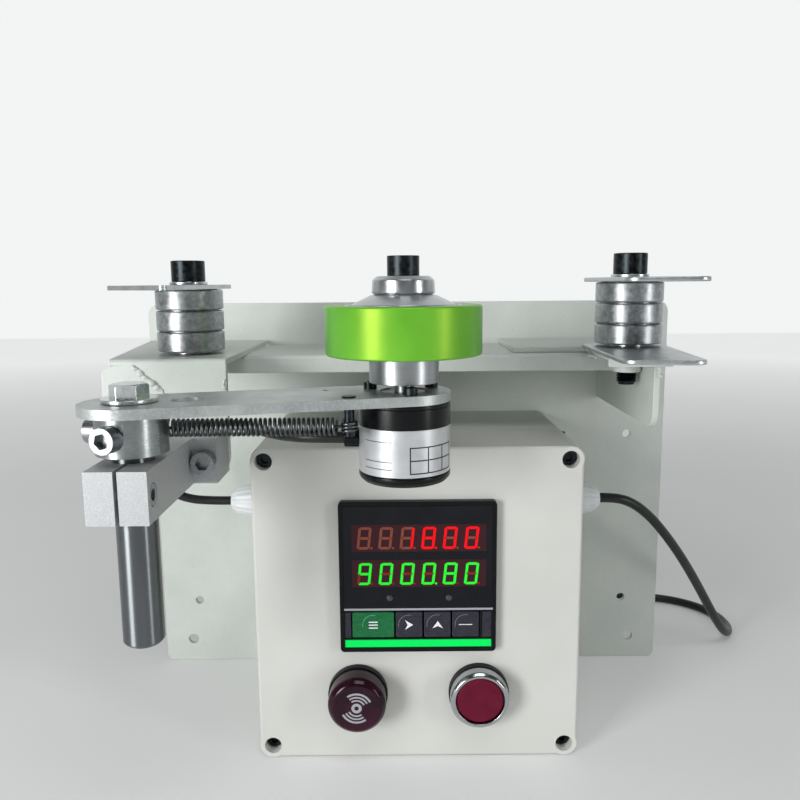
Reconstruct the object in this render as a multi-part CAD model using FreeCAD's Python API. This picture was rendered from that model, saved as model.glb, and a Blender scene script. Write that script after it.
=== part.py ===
"""Cable length counter: a measuring wheel on a sprung arm, guide rollers and a counter box."""

import os
import math

import FreeCAD
import Part

V = FreeCAD.Vector
X_AXIS = V(1, 0, 0)
Y_AXIS = V(0, 1, 0)
Z_AXIS = V(0, 0, 1)

# ---------------------------------------------------------------- frame of the part
# +X right, +Y away from the user, +Z up; z = 0 is the table under box and back plate.
# "reach" is how far a thing stands out in front of the back plate's rear face.
wall_y = 55.0                 # y of the back plate's rear face

# ---------------------------------------------------------------- back plate and shelf
sheet = 3.0                   # thickness of the painted steel sheet
plate_width = 310.0
plate_height = 226.0
plate_corner_r = 7.0
plate_foot_r = 4.0             # lower corners
wall_hole_r = 3.25            # four corner holes for M6
wall_hole_x = 138.0
wall_hole_low_z = 14.0
wall_hole_high_z = 212.0
spare_hole_r = 2.5            # second, smaller pattern
spare_hole_x = 133.0
spare_hole_low_z = 40.0
spare_hole_high_z = 145.0

deck_top_z = 204.0            # top of the two roller brackets
shelf_top_z = deck_top_z - sheet
shelf_left_x = -142.0
shelf_reach = 71.0
shelf_lip_drop = 9.0          # down-turned front edge of the shelf
bend_r = 2.0

bracket_reach = 115.0
bracket_left_back_x = -plate_width / 2   # flush with the plate's edge
bracket_left_front_x = -137.5
bracket_right_x = -84.0
bracket_front_left_x = -141.5
bracket_foot = 4.8            # front plate below the clamp block's lower face
bracket_corner_r = 12.0
bracket_shoulder_r = 5.0      # upper left corner of the front plate
bracket_bend_r = 2.0          # rounded front edge of the top plate

gusset_x = 114.0
gusset_reach = 107.0
gusset_drop = 33.0
gusset_corner_r = 8.0
deck_right_x = 122.0
deck_front_left_x = 92.0      # the narrow part of the right deck, under the roller
deck_rear_left_x = 54.0       # its wide part, on the shelf
deck_reach = 110.0
deck_rear_reach = 66.0
deck_lip_drop = 6.0
deck_bend_r = 1.5

# ---------------------------------------------------------------- guide rollers
roller_x = 107.0
roller_reach = 86.5
bearing_r = 16.0
bearing_bore_r = 6.0
bearing_width = 10.0
bearing_count = 3
race_r = 13.5                 # outside of the inner ring with its shields
race_gap = 0.1
ring_gap = 0.4                # two outer rings turn past each other
bearing_chamfer = 0.7
washer_r = 9.0
washer_t = 1.5
spacer_t = 1.2
guide_t = 2.0
roller_head_r = 8.0
roller_head_h = 10.0
roller_hex_af = 8.0
roller_thread_r = 5.0
roller_nut_r = 6.8             # round weld nut under the shelf
roller_nut_h = 7.7
bolt_end = 6.2                # thread that stands out below the nut
hole_clear = 0.2

# ---------------------------------------------------------------- post and clamp
post_x = -106.5
post_reach = 177.0
post_r = 8.0
post_bottom_z = 98.0
post_chamfer = 1.5
collar_r = 13.5
collar_h = 15.0
collar_gap = 3.0              # bare post between collar and clamp block
collar_bore_clear = 0.05
collar_head_r = 5.0
collar_head_h = 6.0
collar_thread_r = 3.0
collar_flat = 12.6            # radius of the flat under a collar screw's head
collar_screw_angles = (-105, 165)

clamp_width = 23.0
clamp_height = 20.0
clamp_front = 20.0            # from the post's axis to the block's front face
clamp_slit = 1.5
clamp_screw_reach = 14.0      # pinch screw, in front of the post's axis
flange_width = 44.0
flange_t = 23.0
flange_screw_x = 17.0
m6_head_r = 5.0
m6_head_h = 6.0
m6_r = 3.0
m5_head_r = 4.25
m5_head_h = 5.0
m5_r = 2.5

# ---------------------------------------------------------------- swing arm
arm_t = 4.0
arm_r = 19.0
arm_bottom_z = 190.0
arm_gap = 0.2                 # running gap between arm, collar and washer
arm_slot_r = 6.25             # spare hole beside the pivot
arm_slot_place = 21.0
arm_pin_hole_r = 1.5
arm_pin_hole_place = 76.0
arm_pin_hole_aside = 9.0       # towards the wall from the arm's centre line
pivot_r = 4.0
pivot_clear = 0.05
pivot_bush_r = 6.5
pivot_washer_r = 10.5
pivot_washer_t = 1.6
pivot_head_af = 13.0
pivot_head_h = 5.3
pivot_thread_depth = 22.0
pivot_drill_extra = 1.0
pivot_head_turn = 8.0

# ---------------------------------------------------------------- tension spring
spring_r = 4.0
spring_wire = 1.2
spring_drop = 7.4             # spring axis below the arm
spring_x0 = -92.6
spring_x1 = -29.0
spring_reach = 170.0
spring_hook = 5.4             # straight end that reaches into the collar
spring_post_x = -24.4
spring_post_r = 2.0
spring_post_head_r = 2.8
spring_post_head_h = 0.6

# ---------------------------------------------------------------- encoder and wheel
wheel_x = -3.0
wheel_reach = 151.0
encoder_r = 19.0
encoder_flange_t = 1.6
encoder_shell_h = 27.0
encoder_wall = 1.8
encoder_cap_h = 4.4
encoder_boss_r = 10.0
encoder_boss_h = 3.5
boss_clear = 0.1
encoder_screw_pcd = 30.0
m3_r = 1.5
m3_head_r = 2.75
m3_head_h = 3.0
shaft_r = 4.0
shaft_clear = 0.05
shaft_top_z = 218.0
shaft_lift = 4.0              # shaft's lower end above the shell's lower edge
disc_r = 14.0                 # coded disc on the shaft
disc_t = 1.0
disc_lift = 5.0
encoder_cap_chamfer = 1.5
encoder_cap_plate = 1.5       # how far the shell's bore reaches into the cap
encoder_screw_angles = (40, 160, 280)
outlet_r = 4.0
outlet_len = 6.0
outlet_drop = 15.5            # outlet axis below the encoder's top face

tyre_r = 31.83                # 200 mm of cable for each turn
tyre_width = 20.0
tyre_bottom_z = 208.8
rim_r = 24.0
hub_r = 14.25
hub_bottom_z = 197.5
tyre_chamfer = 0.8
cone_foot = 1.0               # straight foot of the clamp cone
nut_chamfer_r = 1.2
nut_chamfer_h = 0.8
cone_base_r = 21.0
cone_top_r = 13.2
cone_h = 4.7
nut_r = 12.8
nut_h = 7.5
nut_taper = 0.8
wheel_bolt_r = 4.0
wheel_bolt_head_r = 6.5
wheel_bolt_head_h = 8.0
wheel_bolt_tip_gap = 1.0        # from the bolt's end to the encoder shaft
recess_r = 22.5               # shallow recess in the wheel's face
recess_depth = 0.8

# ---------------------------------------------------------------- counter box
box_x = 3.0
box_width = 160.0
box_height = 160.0
box_depth = 103.0
box_wall = 3.0
box_corner_r = 6.0
box_edge_r = 1.6              # rounding round the front and the rear face
lid_depth = 41.0
gasket_t = 0.6
gasket_inset = 1.0
lid_screw_inset = 6.5
lid_boss_r = 6.4
lid_counterbore_r = 4.25
lid_screw_r = 2.0
lid_screw_head_r = 3.6
lid_screw_head_h = 3.0
lid_counterbore_depth = 8.0
lid_screw_grip = 12.0          # screw length inside the base
lid_drill_extra = 4.0
base_screw_place = 56.0
base_screw_r = 2.5

meter_size = 76.0
meter_bottom_z = 58.5
meter_proud = 4.0
meter_corner_r = 2.0
meter_rim = 2.2
meter_body = 68.0
meter_body_clear = 0.5
meter_depth = 64.0
meter_wall = 2.0
window_t = 1.0
window_recess = 1.0
key_strip_z = 13.8            # middle of the keys above the meter's lower edge
key_w = 13.0
key_h = 13.0
key_gap = 0.8
key_t = 2.4
key_proud = 0.4               # how far a key's face stands above the recessed face
key_first_w = 20.4
key_first_x = -21.9           # middle of the widest key, from the middle of the meter
key_corner_r = 0.8
display_w = 63.4
display_h = 14.6
display_upper_z = 58.0        # middle of each display above the meter's lower edge
display_lower_z = 40.4
display_gap = 0.4             # air between a display and the window
display_t = 4.0

panel_hole_r = 11.0
buzzer_x = -27.0
button_x = 33.0
control_z = 35.5
buzzer_r = 14.75
buzzer_proud = 15.5
buzzer_base_h = 4.0
lens_inset = 0.6
lens_round = 2.4
button_ring_r = 14.5
button_ring_h = 10.5
button_ring_chamfer = 1.3
button_floor_gap = 2.0         # air behind the pressed cap
button_cap_r = 11.6
button_cap_h = 3.0
button_cap_clear = 0.35
button_cap_chamfer = 0.6
button_sunk = 0.8             # the cap's face lies this far below the ring's edge
button_travel = 2.5
button_stem_r = 4.0
button_stem_gap = 0.5
barrel_r = 10.9
barrel_bore_r = 9.2
barrel_len = 22.0
panel_nut_r = 13.5
panel_nut_t = 4.0
contact_w = 24.0
contact_h = 20.0
contact_d = 18.0

# ---------------------------------------------------------------- glands and cords
gland_reach = 45.0
gland_z = 117.0
gland_r = 9.5
gland_flange_t = 6.0
gland_dome_h = 17.0
gland_dome_tip_r = 4.6
gland_thread_len = 8.0
gland_thread_r = 7.6
gland_nut_af = 19.0
gland_nut_t = 4.0
gland_dome_inset = 0.4
gland_side_h = 7.6
gland_shoulder_inset = 2.2
gland_shoulder_h = 13.6
power_r = 2.75
signal_r = 2.5

power_route = [
    (106.0, 10.0, 117.0), (116.0, 10.0, 117.0), (126.5, 12.5, 113.0), (137.0, 16.5, 104.5),
    (147.0, 22.0, 93.5), (157.0, 28.5, 81.0), (166.5, 35.0, 68.0), (176.5, 42.0, 53.0),
    (186.0, 49.0, 38.0), (195.0, 56.0, 24.0), (204.0, 64.0, 11.5), (212.5, 74.5, 4.0),
    (218.0, 88.0, 2.75), (217.5, 103.5, 2.75), (211.0, 118.0, 2.75), (199.0, 129.5, 2.75),
    (184.0, 136.5, 2.75), (166.5, 138.5, 2.75), (147.5, 138.0, 2.75), (128.5, 139.0, 2.75),
    (110.0, 142.5, 2.75), (92.0, 145.5, 2.75), (75.0, 146.5, 2.75),
]
coil_x = 60.0
coil_y = 108.0
coil_mid_r = 33.0
coil_wide = 3                 # turns side by side
coil_layers = 2
plug_l = 38.0
plug_w = 24.0
plug_h = 14.0
plug_corner_r = 5.0
plug_pin_r = 2.0
plug_pin_l = 19.0
plug_pin_pitch = 12.7

signal_route = [
    (-28.05, -96.0, 174.5), (-40.0, -96.0, 174.5), (-52.0, -90.5, 174.0), (-62.0, -80.0, 173.6),
    (-70.5, -67.5, 173.2), (-79.5, -54.5, 172.2), (-91.0, -43.0, 170.0), (-104.5, -33.0, 166.0),
    (-118.0, -24.0, 159.0), (-129.5, -14.5, 149.0), (-136.0, -4.5, 137.0), (-135.0, 4.0, 126.0),
    (-126.0, 9.0, 118.8), (-113.0, 10.0, 117.0), (-100.0, 10.0, 117.0),
]


# ---------------------------------------------------------------- helpers
def at(x, reach, z):
    """A point given by its reach in front of the wall."""
    return V(x, wall_y - reach, z)


def rod(radius, length, base, direction=Z_AXIS):
    """A cylinder that starts at base and runs along direction."""
    return Part.makeCylinder(radius, length, base, direction)


def tube(outer, inner, length, base, direction=Z_AXIS):
    """A ring or pipe."""
    over = 1.0
    hole = rod(inner, length + 2 * over, base - direction * over, direction)
    return rod(outer, length, base, direction).cut(hole)


def block(x0, x1, y0, y1, z0, z1):
    """A box between two corners."""
    return Part.makeBox(x1 - x0, y1 - y0, z1 - z0, V(x0, y0, z0))


def polygon(points, height):
    """A prism that stands on a flat outline, straight up."""
    face = Part.Face(Part.makePolygon(points + [points[0]]))
    return face.extrude(Z_AXIS * height)


def turned(profile, base, direction=Z_AXIS):
    """Turn (radius, height) pairs about an axis through base."""
    points = [V(r, 0, h) for r, h in profile]
    face = Part.Face(Part.makePolygon(points + [points[0]]))
    solid = face.revolve(V(0, 0, 0), Z_AXIS, 360)
    solid.Placement = FreeCAD.Placement(base, FreeCAD.Rotation(Z_AXIS, direction))
    return solid


def prism(across_flats, height, base, direction=Z_AXIS, turn=0.0):
    """A hexagonal prism, as a bolt head, a nut or a key socket."""
    radius = across_flats / math.sqrt(3)
    points = [
        V(radius * math.cos(math.radians(turn + 60 * i)), radius * math.sin(math.radians(turn + 60 * i)), 0)
        for i in range(6)
    ]
    solid = Part.Face(Part.makePolygon(points + [points[0]])).extrude(Z_AXIS * height)
    solid.Placement = FreeCAD.Placement(base, FreeCAD.Rotation(Z_AXIS, direction))
    return solid


def edges_along(solid, direction, keep):
    """Straight edges parallel to direction whose middle passes the test."""
    chosen = []
    for edge in solid.Edges:
        if not isinstance(edge.Curve, (Part.Line, Part.LineSegment)):
            continue
        along = edge.Vertexes[1].Point - edge.Vertexes[0].Point
        middle = (edge.Vertexes[0].Point + edge.Vertexes[1].Point) * 0.5
        if along.cross(direction).Length < 1e-6 and keep(middle):
            chosen.append(edge)
    return chosen


def rounded(solid, radius, direction, keep=lambda middle: True):
    """Round the edges that run along direction."""
    return solid.makeFillet(radius, edges_along(solid, direction, keep))


def socket_screw(head_r, head_h, shank_r, length, base, direction):
    """A socket-head screw: base is under the head, direction points out of the head."""
    socket_depth = 0.55 * head_h
    head = rod(head_r, head_h, base, direction)
    head = head.fuse(rod(shank_r, length, base - direction * length, direction)).removeSplitter()
    key = prism(head_r * 1.05, socket_depth + 1, base + direction * (head_h - socket_depth), direction)
    return head.cut(key)


def bent_tube(points, radius):
    """Straight runs joined by tangent arcs, with a round section."""
    vertices = [V(*p) for p in points]
    edges, here, radii = [], vertices[0], []
    for a, b, c in zip(vertices, vertices[1:], vertices[2:]):
        into, out = (b - a).normalize(), (c - b).normalize()
        half = into.getAngle(out) / 2
        cut_back = 0.45 * min((b - a).Length, (c - b).Length)
        radii.append(cut_back / math.tan(half))
        start, end = b - into * cut_back, b + out * cut_back
        inward = (out - into).normalize()
        middle = b + inward * (radii[-1] * (1 / math.cos(half) - 1))
        edges.append(Part.LineSegment(here, start).toShape())
        edges.append(Part.Arc(start, middle, end).toShape())
        here = end
    edges.append(Part.LineSegment(here, vertices[-1]).toShape())
    path = Part.Wire(edges)
    ring = Part.Wire(Part.Circle(vertices[0], (vertices[1] - vertices[0]).normalize(), radius).toShape())
    solid = path.makePipeShell([ring], True, False)
    length = sum(e.Length for e in edges)
    print("cord radii", [round(r, 1) for r in radii], "length", round(length, 1))
    print("volume ratio", round(solid.Volume / (math.pi * radius ** 2 * length), 4))
    return solid


def group(solids):
    """Separate solids that share one node."""
    return Part.makeCompound(solids)


parts = {}


def add(name, shape):
    """Keep one named sub-part."""
    parts[name] = shape


# ---------------------------------------------------------------- frame sheets
def build_back_plate():
    front = wall_y - sheet
    plate = block(-plate_width / 2, plate_width / 2, front, wall_y, 0, plate_height)
    plate = rounded(plate, plate_corner_r, Y_AXIS, lambda m: m.z > plate_height / 2)
    plate = rounded(plate, plate_foot_r, Y_AXIS, lambda m: m.z < plate_height / 2)
    holes = []
    for side in (-1, 1):
        for z in (wall_hole_low_z, wall_hole_high_z):
            holes.append(rod(wall_hole_r, sheet + 2, V(side * wall_hole_x, front - 1, z), Y_AXIS))
        for z in (spare_hole_low_z, spare_hole_high_z):
            holes.append(rod(spare_hole_r, sheet + 2, V(side * spare_hole_x, front - 1, z), Y_AXIS))
        for z in (-1, 1):
            place = V(box_x + side * base_screw_place, front - 1, box_height / 2 + z * base_screw_place)
            holes.append(rod(base_screw_r, sheet + 2, place, Y_AXIS))
    add("back_plate", plate.cut(group(holes)))


def build_shelf():
    rear, front = wall_y - sheet, wall_y - shelf_reach
    top = block(shelf_left_x, gusset_x, front, rear, shelf_top_z - sheet, shelf_top_z)
    lip = block(shelf_left_x, gusset_x, front, front + sheet, shelf_top_z - shelf_lip_drop, shelf_top_z)
    shelf = top.fuse(lip).removeSplitter()
    add("shelf", rounded(shelf, bend_r, X_AXIS, lambda m: m.z > shelf_top_z - 1 and m.y < front + 1))


def build_left_bracket():
    bottom = deck_top_z - sheet
    outline = [
        at(bracket_left_back_x, sheet, bottom), at(bracket_right_x, sheet, bottom),
        at(bracket_right_x, bracket_reach, bottom), at(bracket_left_front_x, bracket_reach, bottom),
    ]
    front = wall_y - bracket_reach
    front_edge = lambda m: m.z > bottom + 1 and m.y < front + 1
    top = rounded(polygon(outline, sheet), bracket_bend_r, X_AXIS, front_edge)
    foot = clamp_bottom_z - bracket_foot
    face = block(bracket_front_left_x, bracket_right_x, front, front + sheet, foot, bottom)
    face = rounded(face, bracket_corner_r, Y_AXIS, lambda m: m.z < foot + 1)
    shoulder = lambda m: m.z > bottom - 1 and m.x < bracket_left_front_x
    face = rounded(face, bracket_shoulder_r, Y_AXIS, shoulder)
    bracket = top.fuse(face).removeSplitter()
    holes = [rod(roller_thread_r + hole_clear, sheet + 2, at(-roller_x, roller_reach, bottom - 1))]
    for side in (-1, 1):
        place = at(post_x + side * flange_screw_x, bracket_reach + 1, clamp_mid_z)
        holes.append(rod(m6_r + hole_clear, sheet + 2, place, Y_AXIS))
    add("left_bracket", bracket.cut(group(holes)))


def build_right_gusset():
    bottom = deck_top_z - sheet
    front = wall_y - gusset_reach
    plate = block(gusset_x, gusset_x + sheet, front, wall_y - sheet, bottom - gusset_drop, bottom)
    keep = lambda m: m.z < bottom - 1 and m.y < front + 1
    plate = rounded(plate, gusset_corner_r, X_AXIS, keep)
    deck_front = wall_y - deck_reach
    narrow = block(deck_front_left_x, deck_right_x, deck_front, wall_y - sheet, bottom, deck_top_z)
    wide = block(deck_rear_left_x, deck_right_x, wall_y - deck_rear_reach, wall_y - sheet,
                 bottom, deck_top_z)
    lip = block(deck_front_left_x, deck_right_x, deck_front, deck_front + sheet,
                deck_top_z - deck_lip_drop, deck_top_z)
    deck = narrow.fuse([wide, lip]).removeSplitter()
    deck = rounded(deck, deck_bend_r, X_AXIS, lambda m: m.z > deck_top_z - 1 and m.y < deck_front + 1)
    deck = deck.cut(rod(roller_thread_r + hole_clear, sheet + 2, at(roller_x, roller_reach, bottom - 1)))
    add("right_gusset", deck.fuse(plate).removeSplitter())


# ---------------------------------------------------------------- guide rollers
def guide_plate(outline, corner_r, z, bolt_x):
    """A flat cable guide, clamped by the roller's bolt."""
    points = [at(x, reach, z) for x, reach in outline]
    plate = polygon(points, guide_t)
    plate = rounded(plate, corner_r, Z_AXIS)
    return plate.cut(rod(bearing_bore_r + hole_clear, guide_t + 2, at(bolt_x, roller_reach, z - 1)))


left_guide_outline = [(-90, 68), (-99, 152), (-131, 128), (-132, 119), (-126, 68)]
right_guide_outline = [(88, 68), (86, 154), (119, 160), (128, 68)]
left_stack_z = deck_top_z + spacer_t
right_stack_z = deck_top_z + guide_t + spacer_t
stack_h = bearing_width * bearing_count
guide_corner_r = 2.0
right_guide_corner_r = 6.0
guide_hole_r = 1.6
guide_hole_first = (-124.5, 122.5)
guide_hole_step = (7.5, -1.5)
guide_slot = (96.0, 106.0, 148.0)


def build_guides():
    left = guide_plate(left_guide_outline, guide_corner_r, left_stack_z + stack_h, -roller_x)
    for i in range(3):
        x = guide_hole_first[0] + i * guide_hole_step[0]
        reach = guide_hole_first[1] + i * guide_hole_step[1]
        left = left.cut(rod(guide_hole_r, guide_t + 2, at(x, reach, left_stack_z + stack_h - 1)))
    add("left_top_guide", left)
    right = guide_plate(right_guide_outline, right_guide_corner_r, right_stack_z + stack_h, roller_x)
    add("right_top_guide", right)
    lower = guide_plate(right_guide_outline, right_guide_corner_r, deck_top_z, roller_x)
    x0, x1, reach = guide_slot
    slot = block(x0, x1, wall_y - reach - 1, wall_y - reach + 1, deck_top_z - 1, deck_top_z + guide_t + 1)
    add("right_lower_guide", lower.cut(slot))


def build_rollers():
    bolts, nuts, washers, inner = [], [], [], []
    for side, stack_z, name in ((-1, left_stack_z, "left"), (1, right_stack_z, "right")):
        x = side * roller_x
        top = stack_z + stack_h + guide_t
        deck_low = deck_top_z - sheet
        head_z = top + washer_t
        bolt = rod(roller_head_r, roller_head_h, at(x, roller_reach, head_z))
        shank = rod(bearing_bore_r - pivot_clear, head_z - deck_top_z, at(x, roller_reach, deck_top_z))
        bolt = bolt.fuse(shank)
        thread = roller_nut_h + bolt_end + sheet
        bolt = bolt.fuse(rod(roller_thread_r, thread, at(x, roller_reach, deck_top_z - thread)))
        key = prism(roller_hex_af, roller_head_h, at(x, roller_reach, head_z + roller_head_h / 2))
        bolts.append(bolt.removeSplitter().cut(key))
        nut_low = at(x, roller_reach, deck_low - roller_nut_h)
        nuts.append(tube(roller_nut_r, roller_thread_r, roller_nut_h, nut_low))
        washers.append(tube(washer_r, bearing_bore_r, washer_t, at(x, roller_reach, top)))
        washers.append(tube(washer_r, bearing_bore_r, spacer_t, at(x, roller_reach, stack_z - spacer_t)))
        inner.append(tube(race_r, bearing_bore_r, stack_h, at(x, roller_reach, stack_z)))
        for i, place in enumerate(("bottom", "middle", "top")):
            z = stack_z + i * bearing_width + ring_gap / 2
            h = bearing_width - ring_gap
            c, r, bore = bearing_chamfer, bearing_r, race_r + race_gap
            profile = [(bore, 0), (r - c, 0), (r, c), (r, h - c), (r - c, h), (bore, h)]
            add(name + "_roller_" + place, turned(profile, at(x, roller_reach, z)))
    add("roller_bolts", group(bolts))
    add("roller_nuts", group(nuts))
    add("bearing_inner_rings", group(inner))
    return washers


# ---------------------------------------------------------------- post, collar and clamp
collar_top_z = arm_bottom_z - arm_gap
collar_bottom_z = collar_top_z - collar_h
clamp_top_z = collar_bottom_z - collar_gap
clamp_bottom_z = clamp_top_z - clamp_height
clamp_mid_z = (clamp_top_z + clamp_bottom_z) / 2


def build_clamp():
    back = wall_y - bracket_reach
    front = wall_y - post_reach - clamp_front
    neck = block(post_x - clamp_width / 2, post_x + clamp_width / 2, front, back,
                 clamp_bottom_z, clamp_top_z)
    flange = block(post_x - flange_width / 2, post_x + flange_width / 2, back - flange_t, back,
                   clamp_bottom_z, clamp_top_z)
    body = neck.fuse(flange).removeSplitter()
    bore = rod(post_r + collar_bore_clear, clamp_height + 2, at(post_x, post_reach, clamp_bottom_z - 1))
    body = body.cut(bore)
    slit_end = wall_y - post_reach
    body = body.cut(block(post_x - clamp_slit / 2, post_x + clamp_slit / 2, front - 1, slit_end,
                          clamp_bottom_z - 1, clamp_top_z + 1))
    pinch_y = wall_y - post_reach - clamp_screw_reach
    head_x = post_x + clamp_width / 2 - m5_head_h
    body = body.cut(rod(m5_head_r + hole_clear, m5_head_h + 1, V(head_x, pinch_y, clamp_mid_z), X_AXIS))
    thread_end = V(post_x - clamp_width / 2 - 1, pinch_y, clamp_mid_z)
    body = body.cut(rod(m5_r, clamp_width + 2, thread_end, X_AXIS))
    screws = [socket_screw(m5_head_r, m5_head_h, m5_r, clamp_width - m5_head_h - 2,
                           V(head_x, pinch_y, clamp_mid_z), X_AXIS)]
    for side in (-1, 1):
        head = V(post_x + side * flange_screw_x, back - flange_t, clamp_mid_z)
        body = body.cut(rod(m6_r, flange_t + 2, head - Y_AXIS, Y_AXIS))
        screws.append(socket_screw(m6_head_r, m6_head_h, m6_r, flange_t + sheet + 3, head, Y_AXIS * -1))
    add("clamp_block", body)
    return screws


def build_post():
    c = post_chamfer
    top = collar_top_z - post_bottom_z
    drilled = top - pivot_thread_depth - pivot_drill_extra
    profile = [(0, 0), (post_r - c, 0), (post_r, c), (post_r, top), (pivot_r, top), (pivot_r, drilled),
               (0, drilled)]
    add("post_rod", turned(profile, at(post_x, post_reach, post_bottom_z)))
    base = at(post_x, post_reach, collar_bottom_z)
    collar = tube(collar_r, post_r + collar_bore_clear, collar_h, base)
    screws = []
    for angle in collar_screw_angles:
        out = V(math.cos(math.radians(angle)), math.sin(math.radians(angle)), 0)
        seat = base + Z_AXIS * (collar_h / 2) + out * collar_flat
        collar = collar.cut(rod(collar_head_r + hole_clear, collar_head_h, seat, out))
        collar = collar.cut(rod(collar_thread_r, collar_flat, seat - out * collar_flat, out))
        length = collar_flat - post_r - collar_bore_clear
        screws.append(socket_screw(collar_head_r, collar_head_h, collar_thread_r, length, seat, out))
    pin_z = arm_bottom_z - spring_drop
    hook = V(spring_x0, wall_y - spring_reach, pin_z)
    hole = rod(spring_wire, spring_hook + 1, hook - X_AXIS * (spring_hook + 1), X_AXIS)
    add("spring_collar", collar.cut(hole))
    return screws


def build_pivot():
    z = arm_bottom_z + arm_t + arm_gap + pivot_washer_t
    head = prism(pivot_head_af, pivot_head_h, at(post_x, post_reach, z), Z_AXIS, pivot_head_turn)
    length = z - collar_top_z + pivot_thread_depth
    bolt = head.fuse(rod(pivot_r, length, at(post_x, post_reach, z - length))).removeSplitter()
    add("pivot_bolt", bolt)
    return tube(pivot_washer_r, pivot_r, pivot_washer_t, at(post_x, post_reach, z - pivot_washer_t))


# ---------------------------------------------------------------- swing arm
def arm_point(along, z, aside=0.0):
    """A point on the arm, measured from the pivot along and beside its centre line."""
    pivot, wheel = at(post_x, post_reach, z), at(wheel_x, wheel_reach, z)
    ahead = (wheel - pivot).normalize()
    return pivot + ahead * along + V(-ahead.y, ahead.x, 0) * aside


def encoder_screw_places(z):
    """Three points round the encoder's axis."""
    places = []
    for angle in encoder_screw_angles:
        turn = math.radians(angle)
        out = V(math.cos(turn), math.sin(turn), 0) * (encoder_screw_pcd / 2)
        places.append(at(wheel_x, wheel_reach, z) + out)
    return places


def build_arm():
    pivot = at(post_x, post_reach, arm_bottom_z)
    wheel = at(wheel_x, wheel_reach, arm_bottom_z)
    span = wheel - pivot
    across = V(-span.y, span.x, 0).normalize() * arm_r
    bar = polygon([pivot + across, pivot - across, wheel - across, wheel + across], arm_t)
    arm = bar.fuse([rod(arm_r, arm_t, pivot), rod(arm_r, arm_t, wheel)]).removeSplitter()
    low = arm_bottom_z - 1
    holes = [
        rod(pivot_bush_r, arm_t + 2, at(post_x, post_reach, low)),
        rod(encoder_boss_r, arm_t + 2, at(wheel_x, wheel_reach, low)),
        rod(arm_slot_r, arm_t + 2, arm_point(arm_slot_place, low)),
        rod(arm_pin_hole_r, arm_t + 2, arm_point(arm_pin_hole_place, low, arm_pin_hole_aside)),
        rod(spring_post_r, arm_t + 2, at(spring_post_x, spring_reach, low)),
    ]
    holes += [rod(m3_r + hole_clear, arm_t + 2, place) for place in encoder_screw_places(low)]
    add("swing_arm", arm.cut(group(holes)))
    add("arm_bush", tube(pivot_bush_r, pivot_r + pivot_clear, arm_t, pivot))
    post_len = spring_drop + spring_r + arm_t
    top = at(spring_post_x, spring_reach, arm_bottom_z + arm_t)
    post = rod(spring_post_r, post_len, top - Z_AXIS * post_len)
    post = post.fuse(rod(spring_post_head_r, spring_post_head_h, top)).removeSplitter()
    add("spring_post", post)


def build_spring():
    z = arm_bottom_z - spring_drop
    inner = spring_r - spring_wire
    y = wall_y - spring_reach
    coil = tube(spring_r, inner, spring_x1 - spring_x0, V(spring_x0, y, z), X_AXIS)
    ends = ((spring_x0 - spring_hook, spring_x0 + 1), (spring_x1 - 1, spring_post_x - spring_post_r))
    for start, end in ends:
        hook = rod(spring_wire / 2, end - start, V(start, y, z), X_AXIS)
        disc = rod(spring_r, spring_wire, V(end - 1 if start < spring_x0 else start, y, z), X_AXIS)
        coil = coil.fuse([hook, disc])
    add("tension_spring", coil.removeSplitter())


# ---------------------------------------------------------------- encoder and measuring wheel
def build_encoder():
    top = arm_bottom_z
    axis = lambda z: at(wheel_x, wheel_reach, z)
    bore = shaft_r + shaft_clear
    flange_low = top - encoder_flange_t
    flange = rod(encoder_r, encoder_flange_t, axis(flange_low))
    flange = flange.fuse(rod(encoder_boss_r - boss_clear, encoder_boss_h, axis(top))).removeSplitter()
    flange = flange.cut(rod(bore, encoder_flange_t + encoder_boss_h + 2, axis(flange_low - 1)))
    screws = []
    for place in encoder_screw_places(top + arm_t):
        length = arm_t + encoder_flange_t
        screws.append(socket_screw(m3_head_r, m3_head_h, m3_r, length, place, Z_AXIS))
        flange = flange.cut(rod(m3_r, encoder_flange_t + 2, V(place.x, place.y, flange_low - 1)))
    add("encoder_flange", flange)
    add("encoder_screws", group(screws))
    shell_low = flange_low - encoder_shell_h
    shell = tube(encoder_r, encoder_r - encoder_wall, encoder_shell_h, axis(shell_low))
    inner_r = encoder_r - encoder_wall
    outlet_base = axis(top - outlet_drop) - X_AXIS * (encoder_r + outlet_len)
    outlet = rod(outlet_r, outlet_len + encoder_wall, outlet_base, X_AXIS)
    outlet = outlet.cut(rod(inner_r, encoder_shell_h, axis(shell_low)))
    add("encoder_shell", shell.fuse(outlet).removeSplitter())
    h, e, floor = encoder_cap_h, encoder_cap_chamfer, encoder_cap_h - encoder_cap_plate
    profile = [(0, 0), (encoder_r - e, 0), (encoder_r, e), (encoder_r, h), (inner_r, h), (inner_r, floor),
               (0, floor)]
    add("encoder_end_cap", turned(profile, axis(shell_low - h)))


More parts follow.
